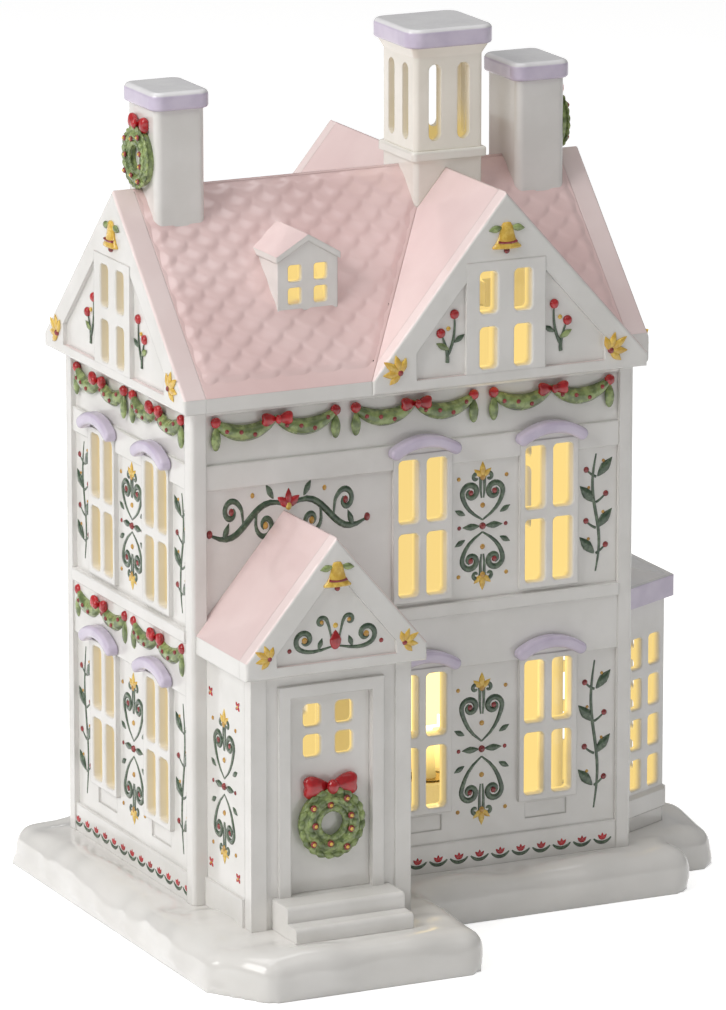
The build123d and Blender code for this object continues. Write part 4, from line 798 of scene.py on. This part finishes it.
def set_copy(motif, matrix):
    """Copy of a motif with its own mesh, its place moved into the mesh."""
    mesh = motif.data.copy()
    mesh.transform(matrix)
    if matrix.determinant() < 0:
        mesh.flip_normals()
    obj = bpy.data.objects.new(motif.name + "_copy", mesh)
    scene.collection.objects.link(obj)
    return obj


def joined(name, parts):
    """Several objects joined into the first."""
    bpy.ops.object.select_all(action="DESELECT")
    for part in parts:
        part.select_set(True)
    bpy.context.view_layer.objects.active = parts[0]
    if len(parts) > 1:
        bpy.ops.object.join()
    obj = bpy.context.view_layer.objects.active
    obj.name = name
    return obj


def hand_over(obj, slot, *stands_for):
    """Let a finished piece ride on the house and hide the solids it stands for; slot is not used."""
    obj.data.shade_smooth()
    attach(obj, "house")
    for node in stands_for:
        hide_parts(node)
    print(obj.name, len(obj.data.polygons), "faces")


hx, hy = house.x, house.y
FRONT = Face(hx, front_field, (1, 0), (0, -1))
BACK = Face(hx, back_field, (-1, 0), (0, 1))
LEFT = Face(left_field, hy, (0, -1), (-1, 0))
RIGHT = Face(right_field, hy, (0, 1), (1, 0))
wing_x = (low("wing_back_wall").x + high("wing_back_wall").x) / 2
WING = Face(wing_x, wing_field, (-1, 0), (0, 1))
porch_x = (low("porch_gable").x + high("porch_gable").x) / 2
PORCH = Face(porch_x, low("porch_gable").y, (1, 0), (0, -1))
DOOR = Face(porch_x, low("porch_door").y, (1, 0), (0, -1))
porch_side_y = (front_field + low("porch_left_wall").y) / 2
PORCH_SIDE = Face(porch_left_field, porch_side_y, (0, -1), (-1, 0))
FRONT_GABLE = Face(cross_x, low("front_gable").y, (1, 0), (0, -1))
REAR_GABLE = Face(cross_x, high("rear_gable").y, (-1, 0), (0, 1))
LEFT_GABLE = Face(low("left_gable").x, hy, (0, -1), (-1, 0))
RIGHT_GABLE = Face(high("right_gable").x, hy, (0, 1), (1, 0))
LEFT_STACK = Face(low("left_chimney").x, hy, (0, -1), (-1, 0))
RIGHT_STACK = Face(high("right_chimney").x, hy, (0, 1), (1, 0))
print("faces measured")

# %% [markdown]
# The colours of the trim are overglaze enamels: thicker than paint, glossy, and streaked by the
# brush. One material with a colour attribute could hold them all, but a small material for each
# colour is easier to follow. One recipe makes them, with the same streak and gloss.

# %% Enamels


def enamel(name, colour, shade, streak=700.0, rough=0.2):
    """Glossy brushed-on colour with a darker shade in its streaks."""
    mat, tree, shader, where = blank_material(name)
    brushed = noise(tree, where, streak, 3.0)
    streaked = mixed(tree, step(tree, brushed, 0.35, 0.65), (*shade, 1), (*colour, 1))
    tree.links.new(streaked, shader.inputs["Base Color"])
    tree.links.new(step(tree, brushed, 0.3, 0.7, rough, rough + 0.1), shader.inputs["Roughness"])
    shader.inputs["Coat Weight"].default_value = 0.4
    shader.inputs["Coat Roughness"].default_value = 0.08
    return mat


red = enamel("red_enamel", (0.57, 0.020, 0.026), (0.36, 0.012, 0.016), 260.0, 0.12)
berry_red = enamel("berry_enamel", (0.34, 0.035, 0.035), (0.20, 0.016, 0.016))
pine = enamel("pine_enamel", (0.085, 0.135, 0.075), (0.035, 0.070, 0.038))
leaf_green = enamel("leaf_enamel", (0.33, 0.42, 0.15), (0.13, 0.18, 0.065), 420.0)
gold = enamel("gold_enamel", (0.84, 0.58, 0.11), (0.70, 0.42, 0.055))
ochre = enamel("ochre_enamel", (0.66, 0.38, 0.07), (0.46, 0.23, 0.035))
print("enamels made")

# %% [markdown]
# The basic marks: a brush stroke is a curve with its own thickness at every point, made a mesh and
# pressed flat; a drop is a ball pulled to a point at one or both ends, which gives leaves, petals
# and berries. Flat pictures on the wall would be quicker, but raised marks catch the light as
# thick enamel does.

# %% Brush marks
STROKE_HEIGHT = 0.45
PINCH = 0.75


def stroke(points, widths, mat, height=STROKE_HEIGHT):
    """Raised brush stroke through points, in millimetres, with its width at each."""
    curve = bpy.data.curves.new("stroke", "CURVE")
    curve.dimensions = "3D"
    curve.bevel_depth = 1.0
    curve.bevel_resolution = 1
    curve.resolution_u = 3
    curve.use_fill_caps = True
    line = curve.splines.new("NURBS")
    line.points.add(len(points) - 1)
    line.order_u = 4
    line.use_endpoint_u = True
    for knot, (x, y), width in zip(line.points, points, widths):
        knot.co = (x * MM, y * MM, 0, 1)
        knot.radius = width * MM / 2
    obj = bpy.data.objects.new("stroke", curve)
    scene.collection.objects.link(obj)
    only(obj)
    bpy.ops.object.convert(target="MESH")
    obj = bpy.context.object
    obj.data.transform(Matrix.Diagonal((1, 1, height, 1)))
    obj.data.materials.append(mat)
    return obj


def drop(x, y, length, width, mat, turn=0.0, tip=1.0, heel=0.0, height=0.5, sides=12):
    """Domed drop from a foot at x, y. tip and heel sharpen its far and near ends from 0 to 1."""
    bpy.ops.object.select_all(action="DESELECT")
    bpy.ops.mesh.primitive_uv_sphere_add(segments=sides, ring_count=8, radius=0.5)
    obj = bpy.context.object
    obj.data.transform(Matrix.Rotation(math.radians(90), 4, "X"))
    for vertex in obj.data.vertices:
        along = vertex.co.y + 0.5
        far = 1 - PINCH * tip * max(0.0, 2 * along - 1) ** 1.5
        near = 1 - PINCH * heel * max(0.0, 1 - 2 * along) ** 1.5
        pinch = far * near
        vertex.co.x *= pinch * width * MM
        vertex.co.z *= pinch * width * MM * height
        vertex.co.y = along * length * MM
    spin = Matrix.Rotation(math.radians(turn), 4, "Z")
    obj.data.transform(Matrix.Translation((x * MM, y * MM, 0)) @ spin)
    obj.data.materials.append(mat)
    return obj


def berry(x, y, size, mat, height=0.6):
    """Round dot of enamel."""
    return drop(x, y - size / 2, size, size, mat, tip=0.0, height=height, sides=10)


def volute(x, y, start, stop, from_angle, to_angle, count=9):
    """Points of a spiral about x, y, from one radius and angle to another."""
    shares = [i / (count - 1) for i in range(count)]
    angles = [math.radians(from_angle + (to_angle - from_angle) * s) for s in shares]
    radii = [start + (stop - start) * s for s in shares]
    return [(x + r * math.cos(a), y + r * math.sin(a)) for r, a in zip(radii, angles)]


def taper(points, thick, thin=0.5):
    """Widths along a stroke, thin at its ends and thick between."""
    last = len(points) - 1
    return [thin + (thick - thin) * math.sin(math.pi * i / last) ** 0.7 for i in range(last + 1)]


def c_scroll(start, bend, eye, size, from_angle, to_angle, mat, thick=1.7):
    """Scroll that sets off from a point over a bend and winds up round an eye."""
    points = [start, bend] + volute(*eye, size, 0.28 * size, from_angle, to_angle)
    return stroke(points, taper(points, thick), mat)


def mirrored(parts):
    """Parts and their mirror images across the middle."""
    flip = Matrix.Scale(-1, 4, (1, 0, 0))
    return parts + [set_copy(part, flip) for part in parts]


def bud(y, size, turn=0.0):
    """Gold bud of three petals on an ochre heart."""
    marks = [
        drop(0, 0, size, 0.42 * size, gold, tip=1.0),
        drop(0, 0, 0.8 * size, 0.36 * size, gold, turn=48, tip=1.0),
        drop(0, 0, 0.8 * size, 0.36 * size, gold, turn=-48, tip=1.0),
        berry(0, 0, 0.42 * size, ochre),
    ]
    place = Matrix.Translation((0, y * MM, 0)) @ Matrix.Rotation(math.radians(turn), 4, "Z")
    for mark in marks:
        mark.data.transform(place)
    return marks


print("brush marks ready")

# %% [markdown]
# The painted motifs: a column of two scroll hearts for the piers between windows, a leafy vine for
# the narrow strips, a spray of scrolls over the porch, a berry sprig for the gables, a gold
# palmette for their corners, flowers for the skirting and the porch, and a bell for the peaks. They
# are built from a few marks, as a painter builds them, and half of each is mirrored. The bell is an
# outline spun round its axis and pressed to half relief.

# %% Painted motifs


def heart_column(tall):
    """Two hearts of scrolls, point to point between gold buds. tall is its height."""
    half = tall / 2
    eye_y = 0.56 * half
    heart = mirrored(
        [
            c_scroll((0, 0.10 * half), (3.6, 0.22 * half), (3.6, eye_y), 3.3, -50, 430, pine),
            c_scroll((0.3, 0.46 * half), (0.7, 0.6 * half), (1.9, 0.80 * half), 1.5, 200, -160, pine, 1.2),
            drop(5.2, 0.20 * half, 3.6, 1.6, pine, turn=-62, tip=1.0, heel=0.7),
            berry(3.6, eye_y, 1.6, berry_red),
            berry(7.2, 0.80 * half, 1.2, ochre),
        ]
    )
    heart.append(berry(0, 0.34 * half, 1.5, ochre))
    heart += bud(0.80 * half, 4.4)
    flip = Matrix.Scale(-1, 4, (0, 1, 0))
    marks = heart + [set_copy(mark, flip) for mark in heart]
    waist = drop(0.9, 0, 5.2, 2.0, pine, turn=-90, tip=1.0, heel=0.6)
    marks += mirrored([waist, berry(7.0, 0, 1.2, berry_red)])
    marks.append(berry(0, 0, 2.0, berry_red, 0.8))
    return joined("heart_column", marks)


def vine(tall):
    """Waving stem with leaves, berries and gold dots. tall is its height."""
    half = tall / 2
    waves = max(2, round(tall / 17))
    count = 6 * waves + 1
    stem = []
    for i in range(count):
        share = i / (count - 1)
        stem.append((1.1 * math.sin(2 * math.pi * waves * share / 2), -half + tall * share))
    marks = [stroke(stem, taper(stem, 1.0), pine)]
    shoots = 2 * waves
    for i in range(shoots):
        side = 1 if i % 2 else -1
        y = -half + tall * (i + 0.7) / (shoots + 0.6)
        marks.append(drop(0.4 * side, y, 6.8, 2.9, pine, turn=-side * 42, tip=1.0, heel=0.7))
        marks.append(berry(-3.0 * side, y + 2.2, 1.7, berry_red))
        stalk = [(0, y), (-1.5 * side, y + 0.6), (-3.0 * side, y + 2.2)]
        marks.append(stroke(stalk, [0.8, 0.7, 0.5], pine))
        marks.append(berry(2.2 * side, y + 4.3, 0.95, ochre))
    return joined("vine", marks)


def spray():
    """Wide pair of branching scrolls under a red flower."""
    stem = [(0.8, 2.4), (5.0, 4.2), (10.0, 2.0), (14.0, -2.4), (18.5, -4.2), (22.6, -2.4)]
    marks = mirrored(
        [
            stroke(stem, taper(stem, 1.7, 0.6), pine),
            c_scroll((9.0, 2.6), (10.0, -0.6), (6.8, -1.4), 2.9, -30, -420, pine, 1.4),
            c_scroll((13.2, -1.6), (13.6, 2.2), (16.8, 2.2), 3.0, 170, -230, pine, 1.4),
            drop(19.2, -3.8, 4.2, 1.7, pine, turn=25, tip=1.0, heel=0.6),
            drop(4.4, 4.0, 4.0, 1.7, pine, turn=-35, tip=1.0, heel=0.6),
            berry(6.8, -1.4, 1.6, ochre),
            berry(16.8, 2.2, 1.6, berry_red),
            berry(23.2, -2.0, 1.8, berry_red),
            berry(10.6, 5.2, 1.2, ochre),
        ]
    )
    for turn in (0, 58, -58):
        marks.append(drop(0, 2.2, 3.8, 2.0, red, turn=turn, tip=0.8))
    marks.append(berry(0, 2.2, 1.8, gold, 0.9))
    return joined("spray", marks)


def sprig():
    """Two stalks with berries, a leaf and a gold dot."""
    marks = [
        stroke([(0, 0), (0.4, 3.0), (-0.8, 6.2), (-2.0, 8.6)], [1.3, 1.1, 0.8, 0.5], pine),
        stroke([(0.3, 2.6), (2.4, 6.4), (2.6, 10.6), (2.3, 14.0)], [1.1, 1.0, 0.7, 0.5], pine),
        drop(0.5, 4.0, 4.8, 2.1, leaf_green, turn=62, tip=1.0, heel=0.6),
        drop(2.2, 6.0, 4.2, 1.8, pine, turn=-58, tip=1.0, heel=0.6),
        berry(-2.2, 9.2, 3.0, red, 0.7),
        berry(2.3, 14.6, 3.0, red, 0.7),
        berry(0.3, 10.4, 1.4, gold),
    ]
    return joined("sprig", marks)


def palmette():
    """Gold fan of five petals on a red dot."""
    marks = []
    for i in (-2, -1, 0, 1, 2):
        marks.append(drop(0, 0, 6.2 - 0.9 * abs(i), 2.2, gold, turn=-38 * i, tip=0.9, heel=0.4))
    marks.append(berry(0, 0.2, 1.8, berry_red, 0.9))
    return joined("palmette", marks)


def border_flower():
    """Red flower of three petals over two leaves."""
    marks = [drop(0, 0.2, 2.0, 0.95, red, turn=turn, tip=0.7, height=0.6) for turn in (0, 42, -42)]
    marks += mirrored([stroke([(0, -0.6), (1.5, -0.6), (2.7, 0.7)], [1.0, 1.1, 0.4], pine)])
    return joined("border_flower", marks)


def blossom():
    """Small red flower of four petals with a gold eye."""
    marks = [drop(0, 0.2, 1.6, 1.0, red, turn=turn, tip=0.2, heel=0.6) for turn in (45, 135, 225, 315)]
    return joined("blossom", marks + [berry(0, 0, 0.8, gold, 0.8)])


BELL_DEPTH = 0.34


def bell():
    """Gold bell in half relief, with a red band and two leaves."""
    crown = [(0.0, 8.6), (1.3, 8.4), (2.0, 7.2)]
    waist = [(2.4, 5.4), (3.0, 3.4), (4.0, 1.8)]
    lip = [(4.9, 1.0), (4.9, 0.5), (0.0, 0.3)]
    rings = crown + waist + lip
    bpy.ops.object.select_all(action="DESELECT")
    mesh = bpy.data.meshes.new("bell")
    obj = bpy.data.objects.new("bell", mesh)
    scene.collection.objects.link(obj)
    outline = [(r * MM, 0, z * MM) for r, z in rings]
    mesh.from_pydata(outline, [(i, i + 1) for i in range(len(rings) - 1)], [])
    only(obj)
    bpy.ops.object.mode_set(mode="EDIT")
    bpy.ops.mesh.select_all(action="SELECT")
    bpy.ops.mesh.spin(steps=24, angle=2 * math.pi, center=(0, 0, 0), axis=(0, 0, 1))
    bpy.ops.mesh.select_all(action="SELECT")
    bpy.ops.mesh.remove_doubles(threshold=1e-6)
    bpy.ops.mesh.normals_make_consistent(inside=False)
    bpy.ops.object.mode_set(mode="OBJECT")
    obj.data.transform(Matrix.Rotation(math.radians(-90), 4, "X"))
    obj.data.transform(Matrix.Diagonal((1, 1, BELL_DEPTH, 1)))
    obj.data.transform(Matrix.Translation((0, -4.6 * MM, 0)))
    obj.data.materials.append(gold)
    marks = [
        obj,
        stroke([(-3.1, -2.0), (0, -2.6), (3.1, -2.0)], [1.1, 1.3, 1.1], berry_red, 2.6),
        berry(0, -4.9, 1.9, berry_red, 1.0),
    ]
    marks += mirrored([drop(1.6, 2.4, 4.6, 2.4, leaf_green, turn=-100, tip=0.9, heel=0.5, height=0.7)])
    return joined("bell", marks)


STOREY_COLUMN = 34.0
GROUND_COLUMN = 43.0
upper_column = heart_column(STOREY_COLUMN)
lower_column = heart_column(GROUND_COLUMN)
upper_vine = vine(33.0)
lower_vine = vine(42.0)
porch_spray = spray()
gable_sprig = sprig()
gable_palmette = palmette()
skirt_flower = border_flower()
red_blossom = blossom()
gold_bell = bell()
masters = [
    red_blossom,
    upper_column,
    lower_column,
    upper_vine,
    lower_vine,
    porch_spray,
    gable_sprig,
    gable_palmette,
    skirt_flower,
    gold_bell,
]
print("motifs", [m.name for m in masters])

# %% [markdown]
# Setting the painting on the walls. The two sides that the photograph shows follow it in where the
# ornament stands; the back and the right side repeat the same scheme round their own windows. Both
# storeys share their places along a wall, so small functions set a motif on each of them at once.

# %% Painted walls
UPPER = 95.6
LOWER = 33.0
SKIRT = 2.6
SKIRT_PITCH = 6.2
FRONT_PIER = 20.8
FRONT_STRIP = 55.2
SIDE_STRIPS = (-32.2, 32.8)
BACK_STRIPS = (24.5, 53.5)
WING_STRIP = 32.5
SPRAY_STRETCH = Matrix.Diagonal((1, 1.3, 1, 1))


def skirting_row(face, start, stop):
    """Row of flowers along the skirting between two places."""
    count = round((stop - start) / SKIRT_PITCH)
    pitch = (stop - start) / count
    places = [face.matrix(start + i * pitch, SKIRT, proud=1.0) for i in range(count + 1)]
    return [set_copy(skirt_flower, place) for place in places]


def paint(name, spots):
    """Trim of one wall: motifs with the matrices of their places."""
    hand_over(joined(name, [set_copy(motif, matrix) for motif, matrix in spots]), "green_glaze")


def columns(face, u):
    """A heart column on each storey."""
    return [(upper_column, face.matrix(u, UPPER)), (lower_column, face.matrix(u, LOWER))]


def vines(face, u, mirror=False):
    """A vine on each storey."""
    return [
        (upper_vine, face.matrix(u, UPPER, mirror=mirror)),
        (lower_vine, face.matrix(u, LOWER, mirror=mirror)),
    ]


front_spray = (porch_spray, FRONT.matrix(-37.0, 104.6) @ SPRAY_STRETCH)
paint("front_painting", columns(FRONT, FRONT_PIER) + vines(FRONT, FRONT_STRIP) + [front_spray])
left_strip, right_strip = SIDE_STRIPS
paint("left_painting", columns(LEFT, 0) + vines(LEFT, left_strip) + vines(LEFT, right_strip, True))
paint(
    "right_painting",
    [
        (upper_column, RIGHT.matrix(0, UPPER)),
        (upper_vine, RIGHT.matrix(left_strip, UPPER)),
        (upper_vine, RIGHT.matrix(right_strip, UPPER, mirror=True)),
    ],
)
back_vines = vines(BACK, BACK_STRIPS[0]) + vines(BACK, BACK_STRIPS[1], True)
wing_vines = vines(WING, -WING_STRIP) + vines(WING, WING_STRIP, True)
paint("back_painting", back_vines + columns(WING, 0) + wing_vines)
blossoms = [(red_blossom, PORCH_SIDE.matrix(u, v)) for u in (-8.6, 8.6) for v in (12.6, 60.0)]
paint("porch_side_painting", [(lower_column, PORCH_SIDE.matrix(0, 36.0))] + blossoms)
flowers = skirting_row(FRONT, 1.0, 57.5)
flowers += skirting_row(LEFT, -36.0, 37.0)
flowers += skirting_row(WING, -33.0, 33.0)
hand_over(joined("skirting_flowers", flowers), "red_glaze")

# %% [markdown]
# Gables: a bell hangs in each peak, berry sprigs stand beside the window in the sunk field, and
# gold palmettes fill the corners. All four gables have the same trim at two widths, so one function
# sets it. The porch gable has scrolls instead of a window.

# %% Gable trim
GABLE_FIELD_V = 143.2
SPRIG_U = 17.0
PALMETTE_V = 142.0
BELL_V = 176.9
FIELD_SUNK = -1.2
CROSS_CORNER = 31.4
SIDE_CORNER = 37.0


def gable_trim(name, face, corner):
    """Bell, sprigs and palmettes of one gable. corner is where the palmettes stand."""
    spots = [
        (gable_sprig, face.matrix(-SPRIG_U, GABLE_FIELD_V, size=0.9, proud=FIELD_SUNK)),
        (gable_sprig, face.matrix(SPRIG_U, GABLE_FIELD_V, size=0.9, mirror=True, proud=FIELD_SUNK)),
        (gable_palmette, face.matrix(-corner, PALMETTE_V, turn=55)),
        (gable_palmette, face.matrix(corner, PALMETTE_V, turn=-55)),
        (gold_bell, face.matrix(0, BELL_V, size=0.88)),
    ]
    paint(name, spots)


gable_trim("front_gable_trim", FRONT_GABLE, CROSS_CORNER)
gable_trim("rear_gable_trim", REAR_GABLE, CROSS_CORNER)
gable_trim("left_gable_trim", LEFT_GABLE, SIDE_CORNER)
gable_trim("right_gable_trim", RIGHT_GABLE, SIDE_CORNER)


def porch_scrolls():
    """Two scrolls either side of a red drop, for the porch gable."""
    marks = mirrored(
        [
            c_scroll((0.8, -4.2), (5.4, -5.4), (9.0, -1.8), 3.3, -80, 330, pine, 1.6),
            c_scroll((1.0, -2.6), (2.0, 2.0), (4.0, 2.6), 1.8, 190, -150, pine, 1.2),
            drop(5.0, -4.8, 3.4, 1.5, pine, turn=20, tip=1.0, heel=0.6),
            berry(9.0, -1.8, 1.7, ochre),
            berry(13.4, -4.2, 1.3, berry_red),
            berry(4.0, 2.6, 1.2, ochre),
        ]
    )
    marks += [drop(0, -5.2, 5.4, 3.4, red, tip=0.9, height=0.5), berry(0, 1.4, 1.5, gold)]
    return joined("porch_scrolls", marks)


porch_pair = porch_scrolls()
masters.append(porch_pair)
spots = [
    (porch_pair, PORCH.matrix(0, 81.0, proud=FIELD_SUNK)),
    (gold_bell, PORCH.matrix(0, 96.8, size=0.82)),
    (gable_palmette, PORCH.matrix(-19.6, 75.6, turn=60, size=0.8)),
    (gable_palmette, PORCH.matrix(19.6, 75.6, turn=-60, size=0.8)),
]
paint("porch_gable_trim", spots)

# %% [markdown]
# Garlands under the eaves: a swag is a plump crescent of pressed clay, streaked green and dotted
# with berries, with a red ball and a leafy tail at each end. A red bow covers the middle of a pair.
# Hundreds of single leaves would be too fine for a casting this small, so the crescent is one thick
# brush stroke, and a loop of the bow is a ball that is flared and creased.

# %% Garlands
SWAG_DIP = 3.4
SWAG_WIDE = 4.6


def swag(span):
    """Half-round crescent between two balls, hung at its ends. span is from ball to ball."""
    half = span / 2
    count = 15
    places = [-half + span * i / (count - 1) for i in range(count)]
    curve = [(x, -SWAG_DIP * (1 - (x / half) ** 2)) for x in places]
    widths = [1.5 + (SWAG_WIDE - 1.5) * (1 - (x / half) ** 2) ** 0.7 for x in places]
    marks = [stroke(curve, widths, leaf_green, 0.75)]
    berries = max(3, round(span / 4.5))
    for i in range(berries):
        x = half * (2 * (i + 0.5) / berries - 1) * 0.92
        y = -SWAG_DIP * (1 - (x / half) ** 2) + (0.5 if i % 2 else -0.5)
        dot = berry(x, y, 1.25, berry_red, 0.8)
        dot.data.transform(Matrix.Translation((0, 0, 1.25 * MM * (1 - (x / half) ** 2) ** 0.7 + 0.3 * MM)))
        marks.append(dot)
    return marks


def garland(span):
    """Two swags that meet in the middle, with balls and tails at the outer ends."""
    half = span / 2
    pair = []
    for side in (-1, 1):
        for mark in swag(half):
            mark.data.transform(Matrix.Translation((side * half / 2 * MM, 0, 0)))
            pair.append(mark)
    ends = mirrored(
        [
            berry(half, 0.2, 3.0, red, 0.75),
            drop(half, -0.6, 7.0, 2.9, leaf_green, turn=180, tip=0.0, heel=0.85, height=0.6),
        ]
    )
    return joined("garland", pair + ends)


def bow(width, height):
    """Two puffed loops and a knot."""
    marks = []
    for side in (-1, 1):
        bpy.ops.object.select_all(action="DESELECT")
        bpy.ops.mesh.primitive_uv_sphere_add(segments=24, ring_count=14, radius=0.5)
        loop = bpy.context.object
        loop.data.transform(Matrix.Rotation(math.radians(90), 4, "Y"))
        for vertex in loop.data.vertices:
            along = vertex.co.x + 0.5
            flare = 0.30 + 0.88 * along**0.9
            crease = 1 - 0.10 * math.cos(5 * math.atan2(vertex.co.z, vertex.co.y)) * (1 - along)
            dent = 0.10 * max(0.0, along - 0.8) / 0.2 * (1 - min(1.0, abs(vertex.co.y) / 0.25))
            vertex.co.y *= flare * crease * height
            vertex.co.z *= flare * crease * height * 0.55
            vertex.co.x = (along - dent) * width / 2
        loop.data.transform(Matrix.Diagonal((side * MM, MM, MM, 1)))
        if side < 0:
            loop.data.flip_normals()
        loop.data.materials.append(red)
        marks.append(loop)
    knot = drop(0, -0.28 * height, 0.56 * height, 0.2 * width, red, tip=0.0, height=0.9, sides=16)
    knot.data.transform(Matrix.Translation((0, 0, 0.22 * height * MM)))
    marks.append(knot)
    return joined("bow", marks)


GARLAND_V = 132.4
MID_GARLAND_V = 69.6
FRIEZE_PROUD = 1.0
front_garland = garland(35.07)
side_garland = garland(31.7)
small_bow = bow(9.6, 4.4)
masters += [front_garland, side_garland, small_bow]
hung = []
tied = []
SIDE_MIDDLES = (-18.85, 18.85)
HANGINGS = (
    (FRONT, front_garland, (-41.07, 0, 41.07), GARLAND_V),
    (LEFT, side_garland, SIDE_MIDDLES, GARLAND_V),
    (LEFT, side_garland, SIDE_MIDDLES, MID_GARLAND_V),
    (RIGHT, side_garland, SIDE_MIDDLES, GARLAND_V),
    (WING, side_garland, SIDE_MIDDLES, GARLAND_V),
    (BACK, side_garland, (38.0,), GARLAND_V),
)
for face, motif, middles, v in HANGINGS:
    for u in middles:
        hung.append(set_copy(motif, face.matrix(u, v, proud=FRIEZE_PROUD)))
        tied.append(set_copy(small_bow, face.matrix(u, v - 0.2, proud=FRIEZE_PROUD + 0.9)))
hand_over(joined("green_garlands", hung), "green_glaze", "garlands")
hand_over(joined("red_garland_bows", tied), "red_glaze", "garland_bows")

# %% [markdown]
# The wreaths are pressed rings of leaves: pointed leaves laid round a ring in three overlapping
# rows, with gold-centred berries between them and a large glossy bow. A rough surface on a plain
# ring would do from afar, but here the leaves show in the outline, so they are modelled.

# %% Wreaths


def wreath(ring, tube):
    """Ring of overlapping leaves with berries. ring and tube are its radii."""
    bpy.ops.object.select_all(action="DESELECT")
    bpy.ops.mesh.primitive_torus_add(
        major_radius=ring * MM, minor_radius=0.9 * tube * MM, major_segments=48, minor_segments=14
    )
    core = bpy.context.object
    core.data.transform(Matrix.Diagonal((1, 1, 0.8, 1)))
    core.data.materials.append(leaf_green)
    marks = [core]
    count = round(2 * math.pi * ring / (0.62 * tube))
    for row, (tilt, reach) in enumerate(((-1, -0.62), (1, 0.62), (0, 0.0))):
        for i in range(count):
            angle = 360 * (i + 0.5 * (row % 2)) / count
            leaf = drop(0, 0, 1.1 * tube, 0.66 * tube, leaf_green, tip=1.0, heel=0.3, height=0.6, sides=8)
            lean = Matrix.Rotation(math.radians(-tilt * 16), 4, "Z")
            lift = 0.8 * tube * math.sqrt(1 - reach**2) - 0.12 * tube
            spot = Matrix.Translation(((ring + reach * tube) * MM, -0.6 * tube * MM, lift * MM))
            leaf.data.transform(Matrix.Rotation(math.radians(angle), 4, "Z") @ spot @ lean)
            marks.append(leaf)
    berries = 9
    for i in range(berries):
        angle = Matrix.Rotation(math.radians(360 * (i + 0.5) / berries), 4, "Z")
        reach = ring + (0.4 if i % 2 else -0.35) * tube
        spot = Matrix.Translation((reach * MM, 0, 0.86 * tube * MM))
        rim = berry(0, 0, 0.62 * tube, berry_red, 0.6)
        eye = berry(0, 0, 0.34 * tube, gold, 0.8)
        eye.data.transform(Matrix.Translation((0, 0, 0.12 * tube * MM)))
        for mark in (rim, eye):
            mark.data.transform(angle @ spot)
            marks.append(mark)
    return joined("wreath", marks)


DOOR_WREATH_V = 27.5
DOOR_BOW_RISE = 10.2
STACK_BOW_RISE = 9.2
stack_z = (low("chimney_wreaths").z + high("chimney_wreaths").z) / 2
stack_v = (stack_z - ground_floor) / MM
door_ring = wreath(6.5, 3.1)
stack_ring = wreath(5.9, 2.5)
door_ribbon = bow(16.6, 7.4)
stack_ribbon = bow(11.0, 5.2)
masters += [door_ring, stack_ring, door_ribbon, stack_ribbon]
hung_ring = set_copy(door_ring, DOOR.matrix(0, DOOR_WREATH_V, proud=0.8))
hand_over(joined("green_door_wreath", [hung_ring]), "green_glaze", "door_wreath")
tied_ribbon = set_copy(door_ribbon, DOOR.matrix(0, DOOR_WREATH_V + DOOR_BOW_RISE, proud=1.2))
hand_over(joined("red_door_bow", [tied_ribbon]), "red_glaze", "door_bow")
stacks = (LEFT_STACK, RIGHT_STACK)
rings = [set_copy(stack_ring, face.matrix(0, stack_v, proud=0.6)) for face in stacks]
hand_over(joined("green_chimney_wreaths", rings), "green_glaze", "chimney_wreaths")
ribbons = [set_copy(stack_ribbon, face.matrix(0, stack_v + STACK_BOW_RISE, proud=0.9)) for face in stacks]
hand_over(joined("red_chimney_bows", ribbons), "red_glaze", "chimney_bows")
COVERED = {
    "garlands": leaf_green,
    "door_wreath": leaf_green,
    "chimney_wreaths": leaf_green,
    "garland_bows": red,
    "door_bow": red,
    "chimney_bows": red,
}
for node, mat in COVERED.items():
    coat(node, mat)
for motif in masters:
    bpy.data.objects.remove(motif)
print("wreaths and bows on the door and chimneys")

# %% [markdown]
# Last, the end of the dressing is reported. Trim may stand a little proud of the solids.

# %% The end
print("scene dressed")
